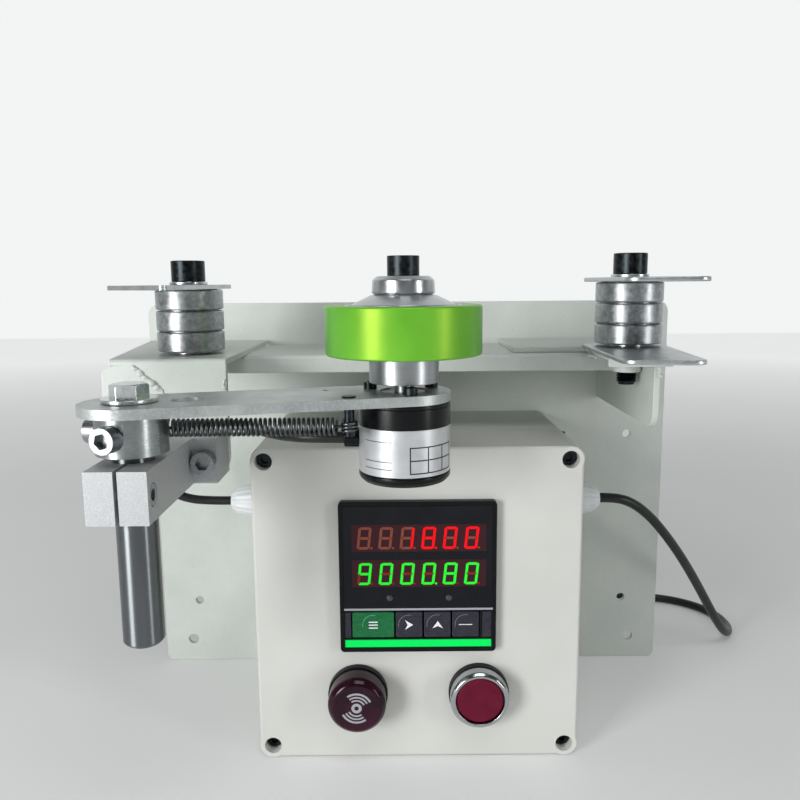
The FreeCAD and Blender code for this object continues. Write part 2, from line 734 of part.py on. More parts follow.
def build_wheel():
    axis = lambda z: at(wheel_x, wheel_reach, z)
    shaft_low = arm_bottom_z - encoder_flange_t - encoder_shell_h + shaft_lift
    shaft = rod(shaft_r, shaft_top_z - shaft_low, axis(shaft_low))
    disc = rod(disc_r, disc_t, axis(shaft_low + disc_lift))
    add("encoder_shaft", shaft.fuse(disc).removeSplitter())
    face = tyre_bottom_z + tyre_width
    cone_z = face - recess_depth
    nut_z = face + cone_h - recess_depth
    bolt_seat = nut_z + nut_h
    hub_profile = [
        (shaft_r, hub_bottom_z), (hub_r, hub_bottom_z), (hub_r, tyre_bottom_z), (rim_r, tyre_bottom_z),
        (rim_r, face), (recess_r, face), (recess_r, cone_z), (shaft_r, cone_z),
    ]
    add("wheel_hub", turned([(r, z - hub_bottom_z) for r, z in hub_profile], axis(hub_bottom_z)))
    c = tyre_chamfer
    tyre_profile = [(rim_r, 0), (tyre_r - c, 0), (tyre_r, c), (tyre_r, tyre_width - c),
                    (tyre_r - c, tyre_width), (rim_r, tyre_width)]
    add("wheel_tyre", turned(tyre_profile, axis(tyre_bottom_z)))
    cone_profile = [(wheel_bolt_r, 0), (cone_base_r, 0), (cone_base_r, cone_foot), (cone_top_r, cone_h),
                    (wheel_bolt_r, cone_h)]
    add("clamp_cone", turned(cone_profile, axis(cone_z)))
    nut_top_r = nut_r - nut_taper
    nut_profile = [(wheel_bolt_r, 0), (nut_r, 0), (nut_top_r, nut_h - nut_chamfer_h),
                   (nut_top_r - nut_chamfer_r, nut_h), (wheel_bolt_r, nut_h)]
    add("wheel_nut", turned(nut_profile, axis(nut_z)))
    depth = bolt_seat - shaft_top_z - wheel_bolt_tip_gap
    bolt = socket_screw(wheel_bolt_head_r, wheel_bolt_head_h, wheel_bolt_r, depth, axis(bolt_seat), Z_AXIS)
    add("wheel_bolt", bolt)


# ---------------------------------------------------------------- counter box
box_front = wall_y - sheet - box_depth
seam_y = box_front + lid_depth


def box_shell(y0, y1, open_front):
    """A rounded square tray between two depths, open at one end."""
    half = box_width / 2
    outer = block(box_x - half, box_x + half, y0, y1, 0, box_height)
    outer = rounded(outer, box_corner_r, Y_AXIS)
    closed_y = y1 if open_front else y0
    rim = [e for e in outer.Edges if all(abs(v.Point.y - closed_y) < 1e-6 for v in e.Vertexes)]
    outer = outer.makeFillet(box_edge_r, rim)
    w = box_wall
    inner_y = (y0 - 1, y1 - w) if open_front else (y0 + w, y1 + 1)
    inner = block(box_x - half + w, box_x + half - w, inner_y[0], inner_y[1], w, box_height - w)
    return outer.cut(rounded(inner, box_corner_r - w, Y_AXIS))


def corner_places(y):
    """The four lid screws."""
    reach_x, reach_z = box_width / 2 - lid_screw_inset, box_height / 2 - lid_screw_inset
    return [V(box_x + sx * reach_x, y, box_height / 2 + sz * reach_z) for sx in (-1, 1) for sz in (-1, 1)]


def build_box():
    base = box_shell(seam_y + gasket_t, wall_y - sheet, True)
    lid = box_shell(box_front, seam_y, False)
    head_y = box_front + lid_counterbore_depth
    screws = []
    for place in corner_places(0):
        x, z = place.x, place.z
        post_base = rod(lid_boss_r, box_depth - lid_depth - gasket_t, V(x, seam_y + gasket_t, z), Y_AXIS)
        post_lid = rod(lid_boss_r, lid_depth, V(x, box_front, z), Y_AXIS)
        base, lid = base.fuse(post_base), lid.fuse(post_lid)
        lid = lid.cut(rod(lid_counterbore_r, lid_counterbore_depth + 1, V(x, box_front - 1, z), Y_AXIS))
        lid = lid.cut(rod(lid_screw_r + hole_clear, lid_depth, V(x, head_y - 1, z), Y_AXIS))
        base = base.cut(rod(lid_screw_r, lid_screw_grip + lid_drill_extra, V(x, seam_y, z), Y_AXIS))
        length = seam_y - head_y + lid_screw_grip
        head = V(x, head_y, z)
        screw = socket_screw(lid_screw_head_r, lid_screw_head_h, lid_screw_r, length, head, Y_AXIS * -1)
        screws.append(screw)
    inner_back = wall_y - sheet - box_wall
    for sx in (-1, 1):
        for sz in (-1, 1):
            place = V(box_x + sx * base_screw_place, inner_back, box_height / 2 + sz * base_screw_place)
            base = base.cut(rod(base_screw_r + hole_clear, box_wall + 2, place - Y_AXIS, Y_AXIS))
            grip = box_wall + sheet
            screws.append(socket_screw(m5_head_r, m5_head_h, base_screw_r, grip, place, Y_AXIS * -1))
    for side in (-1, 1):
        inside = V(box_x + side * (box_width / 2 - 2 * box_wall), wall_y - gland_reach, gland_z)
        base = base.cut(rod(gland_thread_r + hole_clear, 3 * box_wall, inside, X_AXIS * side))
    front = box_front - 1
    cut = meter_body / 2 + meter_body_clear
    mid_z = meter_bottom_z + meter_size / 2
    lid = lid.cut(block(box_x - cut, box_x + cut, front, front + box_wall + 2, mid_z - cut, mid_z + cut))
    for x in (buzzer_x, button_x):
        lid = lid.cut(rod(panel_hole_r, box_wall + 2, V(x, front, control_z), Y_AXIS))
    add("box_base", base.removeSplitter())
    add("box_lid", lid.removeSplitter())
    half = box_width / 2 - gasket_inset
    inner = box_width / 2 - box_wall
    seal = block(box_x - half, box_x + half, seam_y, seam_y + gasket_t,
                 gasket_inset, box_height - gasket_inset)
    hollow = block(box_x - inner, box_x + inner, seam_y - 1, seam_y + 2, box_wall, box_height - box_wall)
    seal = seal.cut(hollow)
    bosses = [rod(lid_boss_r, gasket_t + 2, V(p.x, seam_y - 1, p.z), Y_AXIS) for p in corner_places(0)]
    add("box_gasket", seal.cut(group(bosses)))
    add("box_screws", group(screws))


def key_slots():
    """Name, centre and width of each key, from the left."""
    keys = [("key_enter", box_x + key_first_x, key_first_w)]
    x = box_x + key_first_x + key_first_w / 2 + key_gap + key_w / 2
    for name in ("key_shift", "key_up", "key_reset"):
        keys.append((name, x, key_w))
        x += key_w + key_gap
    return keys


def build_meter():
    z0, z1 = meter_bottom_z, meter_bottom_z + meter_size
    x0, x1 = box_x - meter_size / 2, box_x + meter_size / 2
    face = box_front - meter_proud
    bezel = block(x0, x1, face, box_front, z0, z1)
    bezel = rounded(bezel, meter_corner_r, Y_AXIS)
    rim = meter_rim
    recess = block(x0 + rim, x1 - rim, face - 1, face + window_recess, z0 + rim, z1 - rim)
    bezel = bezel.cut(recess)
    key_z = z0 + key_strip_z
    display_cut = block(box_x - display_w / 2, box_x + display_w / 2, face, box_front + 1,
                        z0 + display_lower_z - display_h / 2, z0 + display_upper_z + display_h / 2)
    bezel = bezel.cut(display_cut)
    for name, x, width in key_slots():
        side, high = width / 2 + key_gap / 2, key_h / 2 + key_gap / 2
        bezel = bezel.cut(block(x - side, x + side, face, box_front + 1, key_z - high, key_z + high))
        front = face + window_recess - key_proud
        key = block(x - width / 2, x + width / 2, front, front + key_t, key_z - key_h / 2, key_z + key_h / 2)
        add(name, rounded(key, key_corner_r, Y_AXIS))
    add("meter_bezel", bezel)
    half = meter_body / 2
    mid_z = z0 + meter_size / 2
    housing = block(box_x - half, box_x + half, box_front, box_front + meter_depth,
                    mid_z - half, mid_z + half)
    w = meter_wall
    hollow = block(box_x - half + w, box_x + half - w, box_front - 1, box_front + meter_depth - w,
                   mid_z - half + w, mid_z + half - w)
    add("meter_housing", housing.cut(hollow))
    displays = []
    for z in (display_upper_z, display_lower_z):
        low, high = z0 + z - display_h / 2, z0 + z + display_h / 2
        front = face + window_recess + display_gap
        displays.append(block(box_x - display_w / 2, box_x + display_w / 2, front, front + display_t,
                              low, high))
    key_top = key_z + key_h / 2 + key_gap
    back = face + window_recess
    window = block(x0 + rim, x1 - rim, back - window_t, back, key_top, z1 - rim)
    add("meter_window", window)
    add("meter_display", group(displays))


def build_controls():
    seat = lambda x, out: V(x, box_front - out, control_z)
    inward = Y_AXIS
    r, h = buzzer_r, buzzer_proud
    base_h = buzzer_base_h
    body = rod(r, base_h, seat(buzzer_x, base_h), inward)
    body = body.fuse(rod(barrel_r, barrel_len, seat(buzzer_x, 0), inward)).removeSplitter()
    add("buzzer_body", body)
    lens_h = h - base_h
    side = r - lens_inset
    profile = [(0, 0), (side, 0), (side, lens_h - lens_round), (side - lens_round, lens_h), (0, lens_h)]
    add("buzzer_lens", turned(profile, seat(buzzer_x, base_h), Y_AXIS * -1))
    r, h, c = button_ring_r, button_ring_h, button_ring_chamfer
    hole = button_cap_r + button_cap_clear
    floor = h - button_cap_h - button_travel - button_floor_gap
    profile = [(barrel_bore_r, -barrel_len), (barrel_r, -barrel_len), (barrel_r, 0), (r, 0), (r, h - c),
               (r - c, h), (hole, h), (hole, floor), (barrel_bore_r, floor)]
    add("button_bezel", turned(profile, seat(button_x, 0), Y_AXIS * -1))
    c = button_cap_chamfer
    profile = [(0, 0), (button_cap_r, 0), (button_cap_r, button_cap_h - c), (button_cap_r - c, button_cap_h),
               (0, button_cap_h)]
    cap = turned(profile, seat(button_x, h - button_sunk - button_cap_h), Y_AXIS * -1)
    cap_back = h - button_sunk - button_cap_h
    stem_len = cap_back + barrel_len - button_travel - button_stem_gap
    stem = rod(button_stem_r, stem_len, seat(button_x, cap_back), inward)
    add("button_cap", cap.fuse(stem).removeSplitter())
    nuts = []
    for x in (buzzer_x, button_x):
        nuts.append(tube(panel_nut_r, barrel_r, panel_nut_t, seat(x, -box_wall), inward))
    add("panel_nuts", group(nuts))
    y0 = box_front + barrel_len
    contact = block(button_x - contact_w / 2, button_x + contact_w / 2, y0, y0 + contact_d,
                    control_z - contact_h / 2, control_z + contact_h / 2)
    add("contact_block", contact)


def build_glands():
    bodies, domes = [], []
    for side in (-1, 1):
        x = box_x + side * box_width / 2
        out = X_AXIS * side
        base = V(x, wall_y - gland_reach, gland_z)
        cord_r = power_r if side > 0 else signal_r
        thread = box_wall + gland_thread_len
        body = rod(gland_thread_r, thread, base - out * thread, out)
        body = body.fuse(rod(gland_r, gland_flange_t, base, out)).removeSplitter()
        body = body.cut(rod(cord_r, thread + gland_flange_t + 2, base - out * (thread + 1), out))
        bodies.append(body)
        lock = prism(gland_nut_af, gland_nut_t, base - out * (box_wall + gland_nut_t), out)
        bore_start = base - out * (box_wall + gland_nut_t + 1)
        bodies.append(lock.cut(rod(gland_thread_r, gland_nut_t + 2, bore_start, out)))
        side_r, shoulder_r = gland_r - gland_dome_inset, gland_r - gland_shoulder_inset
        profile = [(cord_r, 0), (side_r, 0), (side_r, gland_side_h), (shoulder_r, gland_shoulder_h),
                   (gland_dome_tip_r, gland_dome_h), (cord_r, gland_dome_h)]
        domes.append(turned(profile, base + out * gland_flange_t, out))
    add("gland_bodies", group(bodies))
    add("gland_domes", group(domes))


coil_h = 2 * power_r * coil_layers


def build_cords():
    add("power_cable", bent_tube(power_route, power_r))
    add("encoder_cable", bent_tube(signal_route, signal_r))
    band = power_r * coil_wide
    coil = tube(coil_mid_r + band, coil_mid_r - band, coil_h, V(coil_x, coil_y, 0))
    add("power_cable_coil", coil)


def build_plug():
    """A plain two-pin plug that lies on the coil."""
    y, z = coil_y - coil_mid_r, coil_h
    left = coil_x - plug_l / 2
    body = block(left, left + plug_l, y - plug_w / 2, y + plug_w / 2, z, z + plug_h)
    body = rounded(body, plug_corner_r, Z_AXIS)
    for side in (-1, 1):
        pin = V(left + plug_l - 1, y + side * plug_pin_pitch / 2, z + plug_h / 2)
        body = body.fuse(rod(plug_pin_r, plug_pin_l + 1, pin, X_AXIS))
    add("power_plug", body.removeSplitter())


# ---------------------------------------------------------------- build everything
def build():
    build_back_plate()
    build_shelf()
    build_left_bracket()
    build_right_gusset()
    build_guides()
    washers = build_rollers()
    add("clamp_screws", group(build_clamp() + build_post()))
    washers.append(build_pivot())
    add("plain_washers", group(washers))
    build_arm()
    build_spring()
    build_encoder()
    build_wheel()
    build_box()
    build_meter()
    build_controls()
    build_glands()
    build_cords()
    build_plug()


build()
os.makedirs("parts", exist_ok=True)
for name, shape in parts.items():
    shape.exportStep("parts/" + name + ".step")
    if not shape.isValid():
        print("not valid:", name)
print(len(parts), "nodes")
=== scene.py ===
# %% [markdown]
# # A cable length counter
#
# The counter has three kinds of piece. Welded and painted sheet steel carries everything. A machined
# measuring head, with a green polyurethane wheel on a sprung arm, turns with the cable. A moulded box
# holds the panel meter. The solids come from the frame file at their real sizes, so this lesson spends
# its time on edges, finishes, and the small things that a solid leaves out.

# %% Load the frame
import math
import random

import bmesh
import bpy
from mathutils import Matrix, Vector


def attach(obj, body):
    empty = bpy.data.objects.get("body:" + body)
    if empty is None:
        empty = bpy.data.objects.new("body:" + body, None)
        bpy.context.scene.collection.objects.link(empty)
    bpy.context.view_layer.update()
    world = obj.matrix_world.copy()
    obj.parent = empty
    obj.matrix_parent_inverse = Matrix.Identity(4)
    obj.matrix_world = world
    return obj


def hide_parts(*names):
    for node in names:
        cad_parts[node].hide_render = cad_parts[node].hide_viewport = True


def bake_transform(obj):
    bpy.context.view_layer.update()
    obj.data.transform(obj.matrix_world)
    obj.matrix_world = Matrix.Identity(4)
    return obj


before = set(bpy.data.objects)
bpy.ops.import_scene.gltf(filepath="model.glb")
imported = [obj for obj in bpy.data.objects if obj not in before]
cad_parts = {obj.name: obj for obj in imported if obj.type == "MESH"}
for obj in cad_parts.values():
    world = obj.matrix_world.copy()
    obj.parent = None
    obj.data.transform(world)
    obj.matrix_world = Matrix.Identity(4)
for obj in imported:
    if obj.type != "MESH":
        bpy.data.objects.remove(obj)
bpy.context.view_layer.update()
scene = bpy.context.scene
scene.view_settings.view_transform = "Standard"
MM = 0.001
X, Y, Z = Vector((1, 0, 0)), Vector((0, 1, 0)), Vector((0, 0, 1))

# %% [markdown]
# ## Camera
#
# The picture is square and the lens is a mild wide angle, held a little above the shelf and tipped down.
# A camera object looks along its own -Z, so it is first turned up to the horizon less the tilt, and then
# rolled about its own axis by half a degree.

# %% Camera
PICTURE_PX = 800.0
FOCAL_PX = 765.0
PRINCIPAL_X_PX = 403.0
SENSOR_MM = 36.0
CAMERA_AT = Vector((-3.5, -407.0, 238.0)) * MM
TILT_DOWN = math.radians(8.8)
ROLL = -0.008

lens = bpy.data.cameras.new("camera")
lens.sensor_width = SENSOR_MM
lens.lens = FOCAL_PX / PICTURE_PX * SENSOR_MM
lens.shift_x = (PICTURE_PX / 2 - PRINCIPAL_X_PX) / PICTURE_PX
lens.clip_start = 0.01
camera = bpy.data.objects.new("camera", lens)
scene.collection.objects.link(camera)
camera.matrix_world = (
    Matrix.Translation(CAMERA_AT)
    @ Matrix.Rotation(math.pi / 2 - TILT_DOWN, 4, "X")
    @ Matrix.Rotation(ROLL, 4, "Z")
)
scene.camera = camera
print("lens", round(lens.lens, 2), "mm")

# %% [markdown]
# ## Colours and nodes
#
# Paint charts and screens give colours as sRGB hex values, but a shader works with linear light, so one
# function turns one into the other. A second function adds any shader node with its settings and links,
# which keeps each finish short enough to read as a recipe.

# %% Colour and node helpers
def linear(hex_colour):
    """An sRGB hex value as linear RGBA."""
    channels = [int(hex_colour[i:i + 2], 16) / 255 for i in (1, 3, 5)]
    return tuple(c / 12.92 if c <= 0.04045 else ((c + 0.055) / 1.055) ** 2.4 for c in channels) + (1.0,)


def add_node(tree, kind, inputs=None, **settings):
    """Add one node; an input is a value, or another node's output."""
    made = tree.nodes.new(kind)
    for name, value in settings.items():
        setattr(made, name, value)
    for name, value in (inputs or {}).items():
        if isinstance(value, bpy.types.NodeSocket):
            tree.links.new(value, made.inputs[name])
        else:
            made.inputs[name].default_value = value
    return made


print("sRGB mid grey is", round(linear("#808080")[0], 3), "in linear light")

# %% [markdown]
# A finish starts from the Principled shader with four plain facts: name, colour, roughness and whether it
# is a metal. Patterns are then linked to the shader's sockets one by one.

# %% Finish helpers
def finish(name, colour, roughness, metallic=0.0, **sockets):
    """Start a material; other Principled sockets are given by name, with _ for a space."""
    material = bpy.data.materials.new(name)
    material.use_nodes = True
    shader = material.node_tree.nodes["Principled BSDF"]
    shader.inputs["Base Color"].default_value = linear(colour)
    shader.inputs["Roughness"].default_value = roughness
    shader.inputs["Metallic"].default_value = metallic
    for socket, value in sockets.items():
        shader.inputs[socket.replace("_", " ")].default_value = value
    material.diffuse_color = linear(colour)
    print("finish", name, colour)
    return material


def connect(material, output, socket):
    """Link a pattern to the material's shader."""
    tree = material.node_tree
    tree.links.new(output, tree.nodes["Principled BSDF"].inputs[socket])


print("finish helpers ready")

# %% [markdown]
# Real surfaces are never one even tone. Each pattern is a cloud of a known grain size, read in the
# object's own coordinates, so that it stays on a piece when the piece moves. The cloud then becomes a
# range of roughness, a run between two colours, or a shallow bump.

# %% Pattern helpers
def noise(material, size_mm, stretch=(1, 1, 1), detail=3.0, rough=0.55):
    """A cloud of that grain size on Object coordinates; stretch lengthens it along an axis."""
    tree = material.node_tree
    place = add_node(tree, "ShaderNodeTexCoord")
    scale = tuple(1.0 / (size_mm * MM * s) for s in stretch)
    stretched = add_node(tree, "ShaderNodeMapping", {"Vector": place.outputs["Object"], "Scale": scale})
    cloud = add_node(tree, "ShaderNodeTexNoise", {"Vector": stretched.outputs["Vector"], "Scale": 1.0,
                                                  "Detail": detail, "Roughness": rough})
    return cloud.outputs["Fac"]


def between(material, pattern, low, high, start=0.35, stop=0.65):
    """Map a pattern to a range of numbers."""
    tree = material.node_tree
    ramp = add_node(tree, "ShaderNodeMapRange", {"Value": pattern, "From Min": start, "From Max": stop,
                                                 "To Min": low, "To Max": high})
    return ramp.outputs["Result"]


def tinted(material, pattern, first, second, start=0.35, stop=0.65):
    """Map a pattern to a run from one colour to another."""
    tree = material.node_tree
    ramp = add_node(tree, "ShaderNodeValToRGB", {"Fac": pattern})
    ramp.color_ramp.elements[0].position = start
    ramp.color_ramp.elements[0].color = linear(first)
    ramp.color_ramp.elements[1].position = stop
    ramp.color_ramp.elements[1].color = linear(second)
    return ramp.outputs["Color"]


def blended(material, share, below, above):
    """Lay one colour over another by a share from 0 to 1."""
    tree = material.node_tree
    mix = add_node(tree, "ShaderNodeMixRGB", {"Fac": share, "Color1": below, "Color2": above})
    return mix.outputs["Color"]


def relief(material, pattern, depth_mm):
    """A bump of that depth."""
    inputs = {"Height": pattern, "Strength": 1.0, "Distance": depth_mm * MM}
    return add_node(material.node_tree, "ShaderNodeBump", inputs).outputs["Normal"]


print("pattern helpers ready")

# %% [markdown]
# ## From sharp solids to real edges
#
# No real edge is sharp. A laser-cut sheet has a burr knocked off, a moulding has a radius, and paint
# rounds both. Each visible node is therefore copied, its loose triangles are merged, the flat faces are
# joined again, and every edge of more than 32 degrees gets a small bevel. Smooth shading with weighted
# normals then keeps the flats flat.

# %% Finish a piece
CREASE = math.radians(50)


def settle(bm, name, body, materials, slot, *nodes):
    """Turn a bmesh into a finished piece on a body, which stands for the nodes if any are given."""
    for face in bm.faces:
        face.smooth = True
    for edge in bm.edges:
        edge.smooth = not edge.is_manifold or edge.calc_face_angle(0) < CREASE
    mesh = bpy.data.meshes.new(name)
    bm.to_mesh(mesh)
    bm.free()
    for material in materials:
        mesh.materials.append(material)
    made = bpy.data.objects.new(name, mesh)
    scene.collection.objects.link(made)
    normals = made.modifiers.new("weighted normals", "WEIGHTED_NORMAL")
    normals.keep_sharp = True
    if body:
        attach(made, body)
    if nodes:
        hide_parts(*nodes)
    print("piece", name, len(mesh.polygons), "faces")
    return made


print("creases from", round(math.degrees(CREASE)), "degrees")

# %% [markdown]
# The bevel operator's defaults differ from the editor's, so they are all given in one place. A node's
# triangles share no points until they are merged, and only then does an edge know its two faces.

# %% Round a node's edges
SHARP = math.radians(32)
COPLANAR = math.radians(0.5)
WELD_MM = 0.002


def bevel(bm, edges, width_mm, segments=2):
    """Round some edges."""
    bmesh.ops.bevel(bm, geom=edges, offset=width_mm * MM, offset_type="OFFSET", affect="EDGES",
                    segments=segments, profile=0.5, clamp_overlap=True, material=-1, loop_slide=True)


def merged_copy(node):
    """A node's mesh with its triangles joined into faces."""
    bm = bmesh.new()
    bm.from_mesh(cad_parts[node].data)
    bmesh.ops.remove_doubles(bm, verts=bm.verts, dist=WELD_MM * MM)
    bmesh.ops.dissolve_limit(bm, angle_limit=COPLANAR, verts=bm.verts, edges=bm.edges)
    return bm


def sharp_edges(bm, limit=SHARP):
    """The edges where two faces meet at more than the limit."""
    return [e for e in bm.edges if e.is_manifold and e.calc_face_angle(0) > limit]


def softened(node, body, material, slot, width_mm=0.3, segments=2):
    """A node's copy with rounded edges, which stands for it."""
    bm = merged_copy(node)
    bevel(bm, sharp_edges(bm), width_mm, segments)
    return settle(bm, node + "_finished", body, [material], slot, node)


print("bevels from", round(math.degrees(SHARP)), "degrees")

# %% [markdown]
# Round pieces are turned, as on a lathe: a few points give the section, and the spin operator carries it
# round an axis. Its seam and its poles are merged, and its normals are set afresh, because a spin can
# leave them pointing inwards. Open ends are closed with one face each.

# %% Lathe helpers
RING_SHARP = math.radians(18)


def turned(profile, centre, axis=Z, steps=96, closed=False):
    """Spin (radius, height) pairs in mm about an axis, as a lathe would."""
    bm = bmesh.new()
    points = [bm.verts.new((r * MM, 0, h * MM)) for r, h in profile]
    pairs = list(zip(points, points[1:])) + ([(points[-1], points[0])] if closed else [])
    edges = [bm.edges.new(pair) for pair in pairs]
    bmesh.ops.spin(bm, geom=points + edges, cent=(0, 0, 0), axis=(0, 0, 1), angle=2 * math.pi,
                   steps=steps, use_merge=True, use_duplicate=False)
    bmesh.ops.remove_doubles(bm, verts=bm.verts, dist=WELD_MM * MM)
    bmesh.ops.recalc_face_normals(bm, faces=bm.faces)
    turn = Z.rotation_difference(axis).to_matrix().to_4x4()
    bmesh.ops.transform(bm, matrix=Matrix.Translation(Vector(centre) * MM) @ turn, verts=bm.verts)
    return bm


def tube_section(inner, outer, first, last):
    """The section of a plain tube, from one height to the other."""
    return [(inner, first), (outer, first), (outer, last), (inner, last)]


def ring_edges(bm):
    """The sharp rings of a turned piece."""
    return sharp_edges(bm, RING_SHARP)


def close_ends(bm):
    """Fill every open end with a face."""
    bmesh.ops.holes_fill(bm, edges=[e for e in bm.edges if e.is_boundary])


def pour(bm, part):
    """Add one bmesh's shape to another."""
    carrier = bpy.data.meshes.new("carrier")
    part.to_mesh(carrier)
    part.free()
    bm.from_mesh(carrier)
    bpy.data.meshes.remove(carrier)


print("lathe helpers ready")

# %% [markdown]
# ## The two cords
#
# Both leads have a sheath of soft PVC, black with a faint grey bloom where it was handled, and a skin
# that is finely wrinkled at the scale of a millimetre.

# %% PVC sheath
cord_pvc = finish("black_pvc_sheath", "#131615", 0.36, Specular_IOR_Level=0.3)
bloom = noise(cord_pvc, 12.0, detail=4.0)
connect(cord_pvc, tinted(cord_pvc, bloom, "#181a19", "#2a2e2c", 0.3, 0.75), "Base Color")
connect(cord_pvc, relief(cord_pvc, noise(cord_pvc, 0.8), 0.03), "Normal")

# %% [markdown]
# The plug is moulded on, with a ribbed neck that keeps the lead from kinking. Its body is the node with
# rounder edges; the neck is turned, because it is a row of rings.

# %% Plug
PLUG_AT = (41.0, 75.0, 18.0)
NECK_RINGS = 5
NECK_PITCH, NECK_RIB, NECK_GROOVE = 2.6, 1.6, 1.0
NECK_R, NECK_TAPER = 5.4, 0.45

bm = merged_copy("power_plug")
bevel(bm, sharp_edges(bm), 0.9, 3)
neck_profile = [(0, 0)]
for ring in range(NECK_RINGS):
    start = NECK_PITCH * ring
    outer = NECK_R - NECK_TAPER * ring
    groove = outer - NECK_GROOVE
    neck_profile += [(outer, start), (outer, start + NECK_RIB)]
    neck_profile += [(groove, start + NECK_RIB), (groove, start + NECK_PITCH)]
neck_profile.append((0, NECK_RINGS * NECK_PITCH))
neck = turned(neck_profile, PLUG_AT, axis=-X, steps=32)
bevel(neck, ring_edges(neck), 0.2)
pour(bm, neck)
plug = settle(bm, "moulded_plug", "frame", [cord_pvc], "cord_sheath", "power_plug")

# %% [markdown]
# A sheathed lead bends as one smooth curve, so each is a NURBS curve whose control points are the bends
# of its route. The spline's order is set after its points exist; set before, Blender keeps order 2 and
# the lead would be straight runs.

# %% A cord from its route
CORD_ORDER = 3
CORD_STEPS = 8
CORD_ROUNDING = 4


def sheath(name, route, radius):
    """A NURBS cord through a route's control points, in millimetres."""
    line = bpy.data.curves.new(name, "CURVE")
    line.dimensions = "3D"
    spline = line.splines.new("NURBS")
    spline.points.add(len(route) - 1)
    for point, place in zip(spline.points, route):
        point.co = (*(Vector(place) * MM), 1.0)
    spline.order_u = CORD_ORDER
    spline.use_endpoint_u = True
    line.resolution_u = CORD_STEPS
    line.bevel_depth = radius * MM
    line.bevel_resolution = CORD_ROUNDING
    line.use_fill_caps = True
    line.materials.append(cord_pvc)
    made = bpy.data.objects.new(name, line)
    scene.collection.objects.link(made)
    print("cord", name, len(route), "control points")
    return made


print("cord helper ready")

# %% [markdown]
# The power lead leaves the right gland, drops to the floor in one arc and runs back under the box. Most
# of it lies behind the plate as a coil of five turns and a bit, two layers high. Each turn lies flat and
# steps over to the next in its last fifth, as a coil laid by hand does.

# %% Power lead's route and coil
SHEATH_RADIUS = 2.75
POWER_ROUTE = [
    (106, 10, 117), (116, 10, 117), (126.5, 12.5, 113), (137, 16.5, 104.5), (147, 22, 93.5),
    (157, 28.5, 81), (166.5, 35, 68), (176.5, 42, 53), (186, 49, 38), (195, 56, 24), (204, 64, 11.5),
    (212.5, 74.5, 4), (218, 88, 2.75), (217.5, 103.5, 2.75), (211, 118, 2.75), (199, 129.5, 2.75),
    (184, 136.5, 2.75), (166.5, 138.5, 2.75), (147.5, 138, 2.75), (128.5, 139, 2.75), (110, 142.5, 2.75),
    (92, 145.5, 2.75), (75, 146.5, 2.75),
]
COIL_X, COIL_Y = 60.0, 108.0
COIL_TURNS = [(38.5, 0), (33.0, 0), (27.5, 0), (27.5, 1), (33.0, 1), (38.5, 1)]  # radius and layer
POINTS_PER_TURN = 16
STEP_OVER = 0.2
ENTER_ANGLE, LEAVE_ANGLE = 90, 185.0
PLUG_RISE = [(21.5, 94, 10), (23.5, 84, 14), (28, 77, 17), (34, 75, 18), (41.5, 75, 18)]


def coil_points():
    """Turns beside and on each other; each steps over to the next in its last fifth."""
    points = []
    full_turns = len(COIL_TURNS) - 1
    last = int(POINTS_PER_TURN * (full_turns + (LEAVE_ANGLE - ENTER_ANGLE) / 360))
    for i in range(last):
        turn, share = divmod(i, POINTS_PER_TURN)
        step = max(0.0, share / POINTS_PER_TURN - (1 - STEP_OVER)) / STEP_OVER
        here = COIL_TURNS[turn]
        after = COIL_TURNS[min(turn + 1, full_turns)]
        radius = here[0] + (after[0] - here[0]) * step
        height = SHEATH_RADIUS * (1 + 2 * (here[1] + (after[1] - here[1]) * step))
        angle = math.radians(ENTER_ANGLE + 360 * i / POINTS_PER_TURN)
        points.append((COIL_X + radius * math.cos(angle), COIL_Y + radius * math.sin(angle), height))
    return points


power_points = POWER_ROUTE + coil_points() + PLUG_RISE
print("points on the coil", len(power_points) - len(POWER_ROUTE) - len(PLUG_RISE))

# %% [markdown]
# The lead is one piece on the frame. It stands for the two nodes that hold its place in the solids.

# %% Power lead
power_lead = sheath("power_lead", power_points, SHEATH_RADIUS)
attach(power_lead, "frame")
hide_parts("power_cable", "power_cable_coil")
print("power lead points", len(power_lead.data.splines[0].points))

# %% [markdown]
# The encoder's lead runs from the arm, which swings, to the gland, which does not. The same kind of curve
# is turned into a mesh. A second mesh, made with no thickness, gives its middle line.

# %% Encoder lead
LEAD_RADIUS = 2.5
SIGNAL_ROUTE = [
    (-28.05, -96, 174.5), (-40, -96, 174.5), (-52, -90.5, 174), (-62, -80, 173.6), (-70.5, -67.5, 173.2),
    (-79.5, -54.5, 172.2), (-91, -43, 170), (-104.5, -33, 166), (-118, -24, 159), (-129.5, -14.5, 149),
    (-136, -4.5, 137), (-135, 4, 126), (-126, 9, 118.8), (-113, 10, 117), (-100, 10, 117),
]
route_curve = sheath("encoder_lead_route", SIGNAL_ROUTE, LEAD_RADIUS)
graph = bpy.context.evaluated_depsgraph_get()
tube = bpy.data.meshes.new_from_object(route_curve.evaluated_get(graph))
route_curve.data.bevel_depth = 0.0
graph.update()
line = bpy.data.meshes.new_from_object(route_curve.evaluated_get(bpy.context.evaluated_depsgraph_get()))
bpy.data.objects.remove(route_curve)
encoder_lead = bpy.data.objects.new("encoder_lead", tube)
scene.collection.objects.link(encoder_lead)
tube.shade_smooth()
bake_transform(encoder_lead)
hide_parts("encoder_cable")

# %% [markdown]
# ## Floor and light
#
# A studio sweep keeps the shadow and nothing else. The floor is a plain pale sheet just under the feet,
# and far from the object it fades into the backdrop. That glow is seen only by rays that show a picture:
# from the camera, from a mirror or through glass. It throws no light on the object.

# %% Rays that show a picture
BACKDROP = "#f3f4f4"


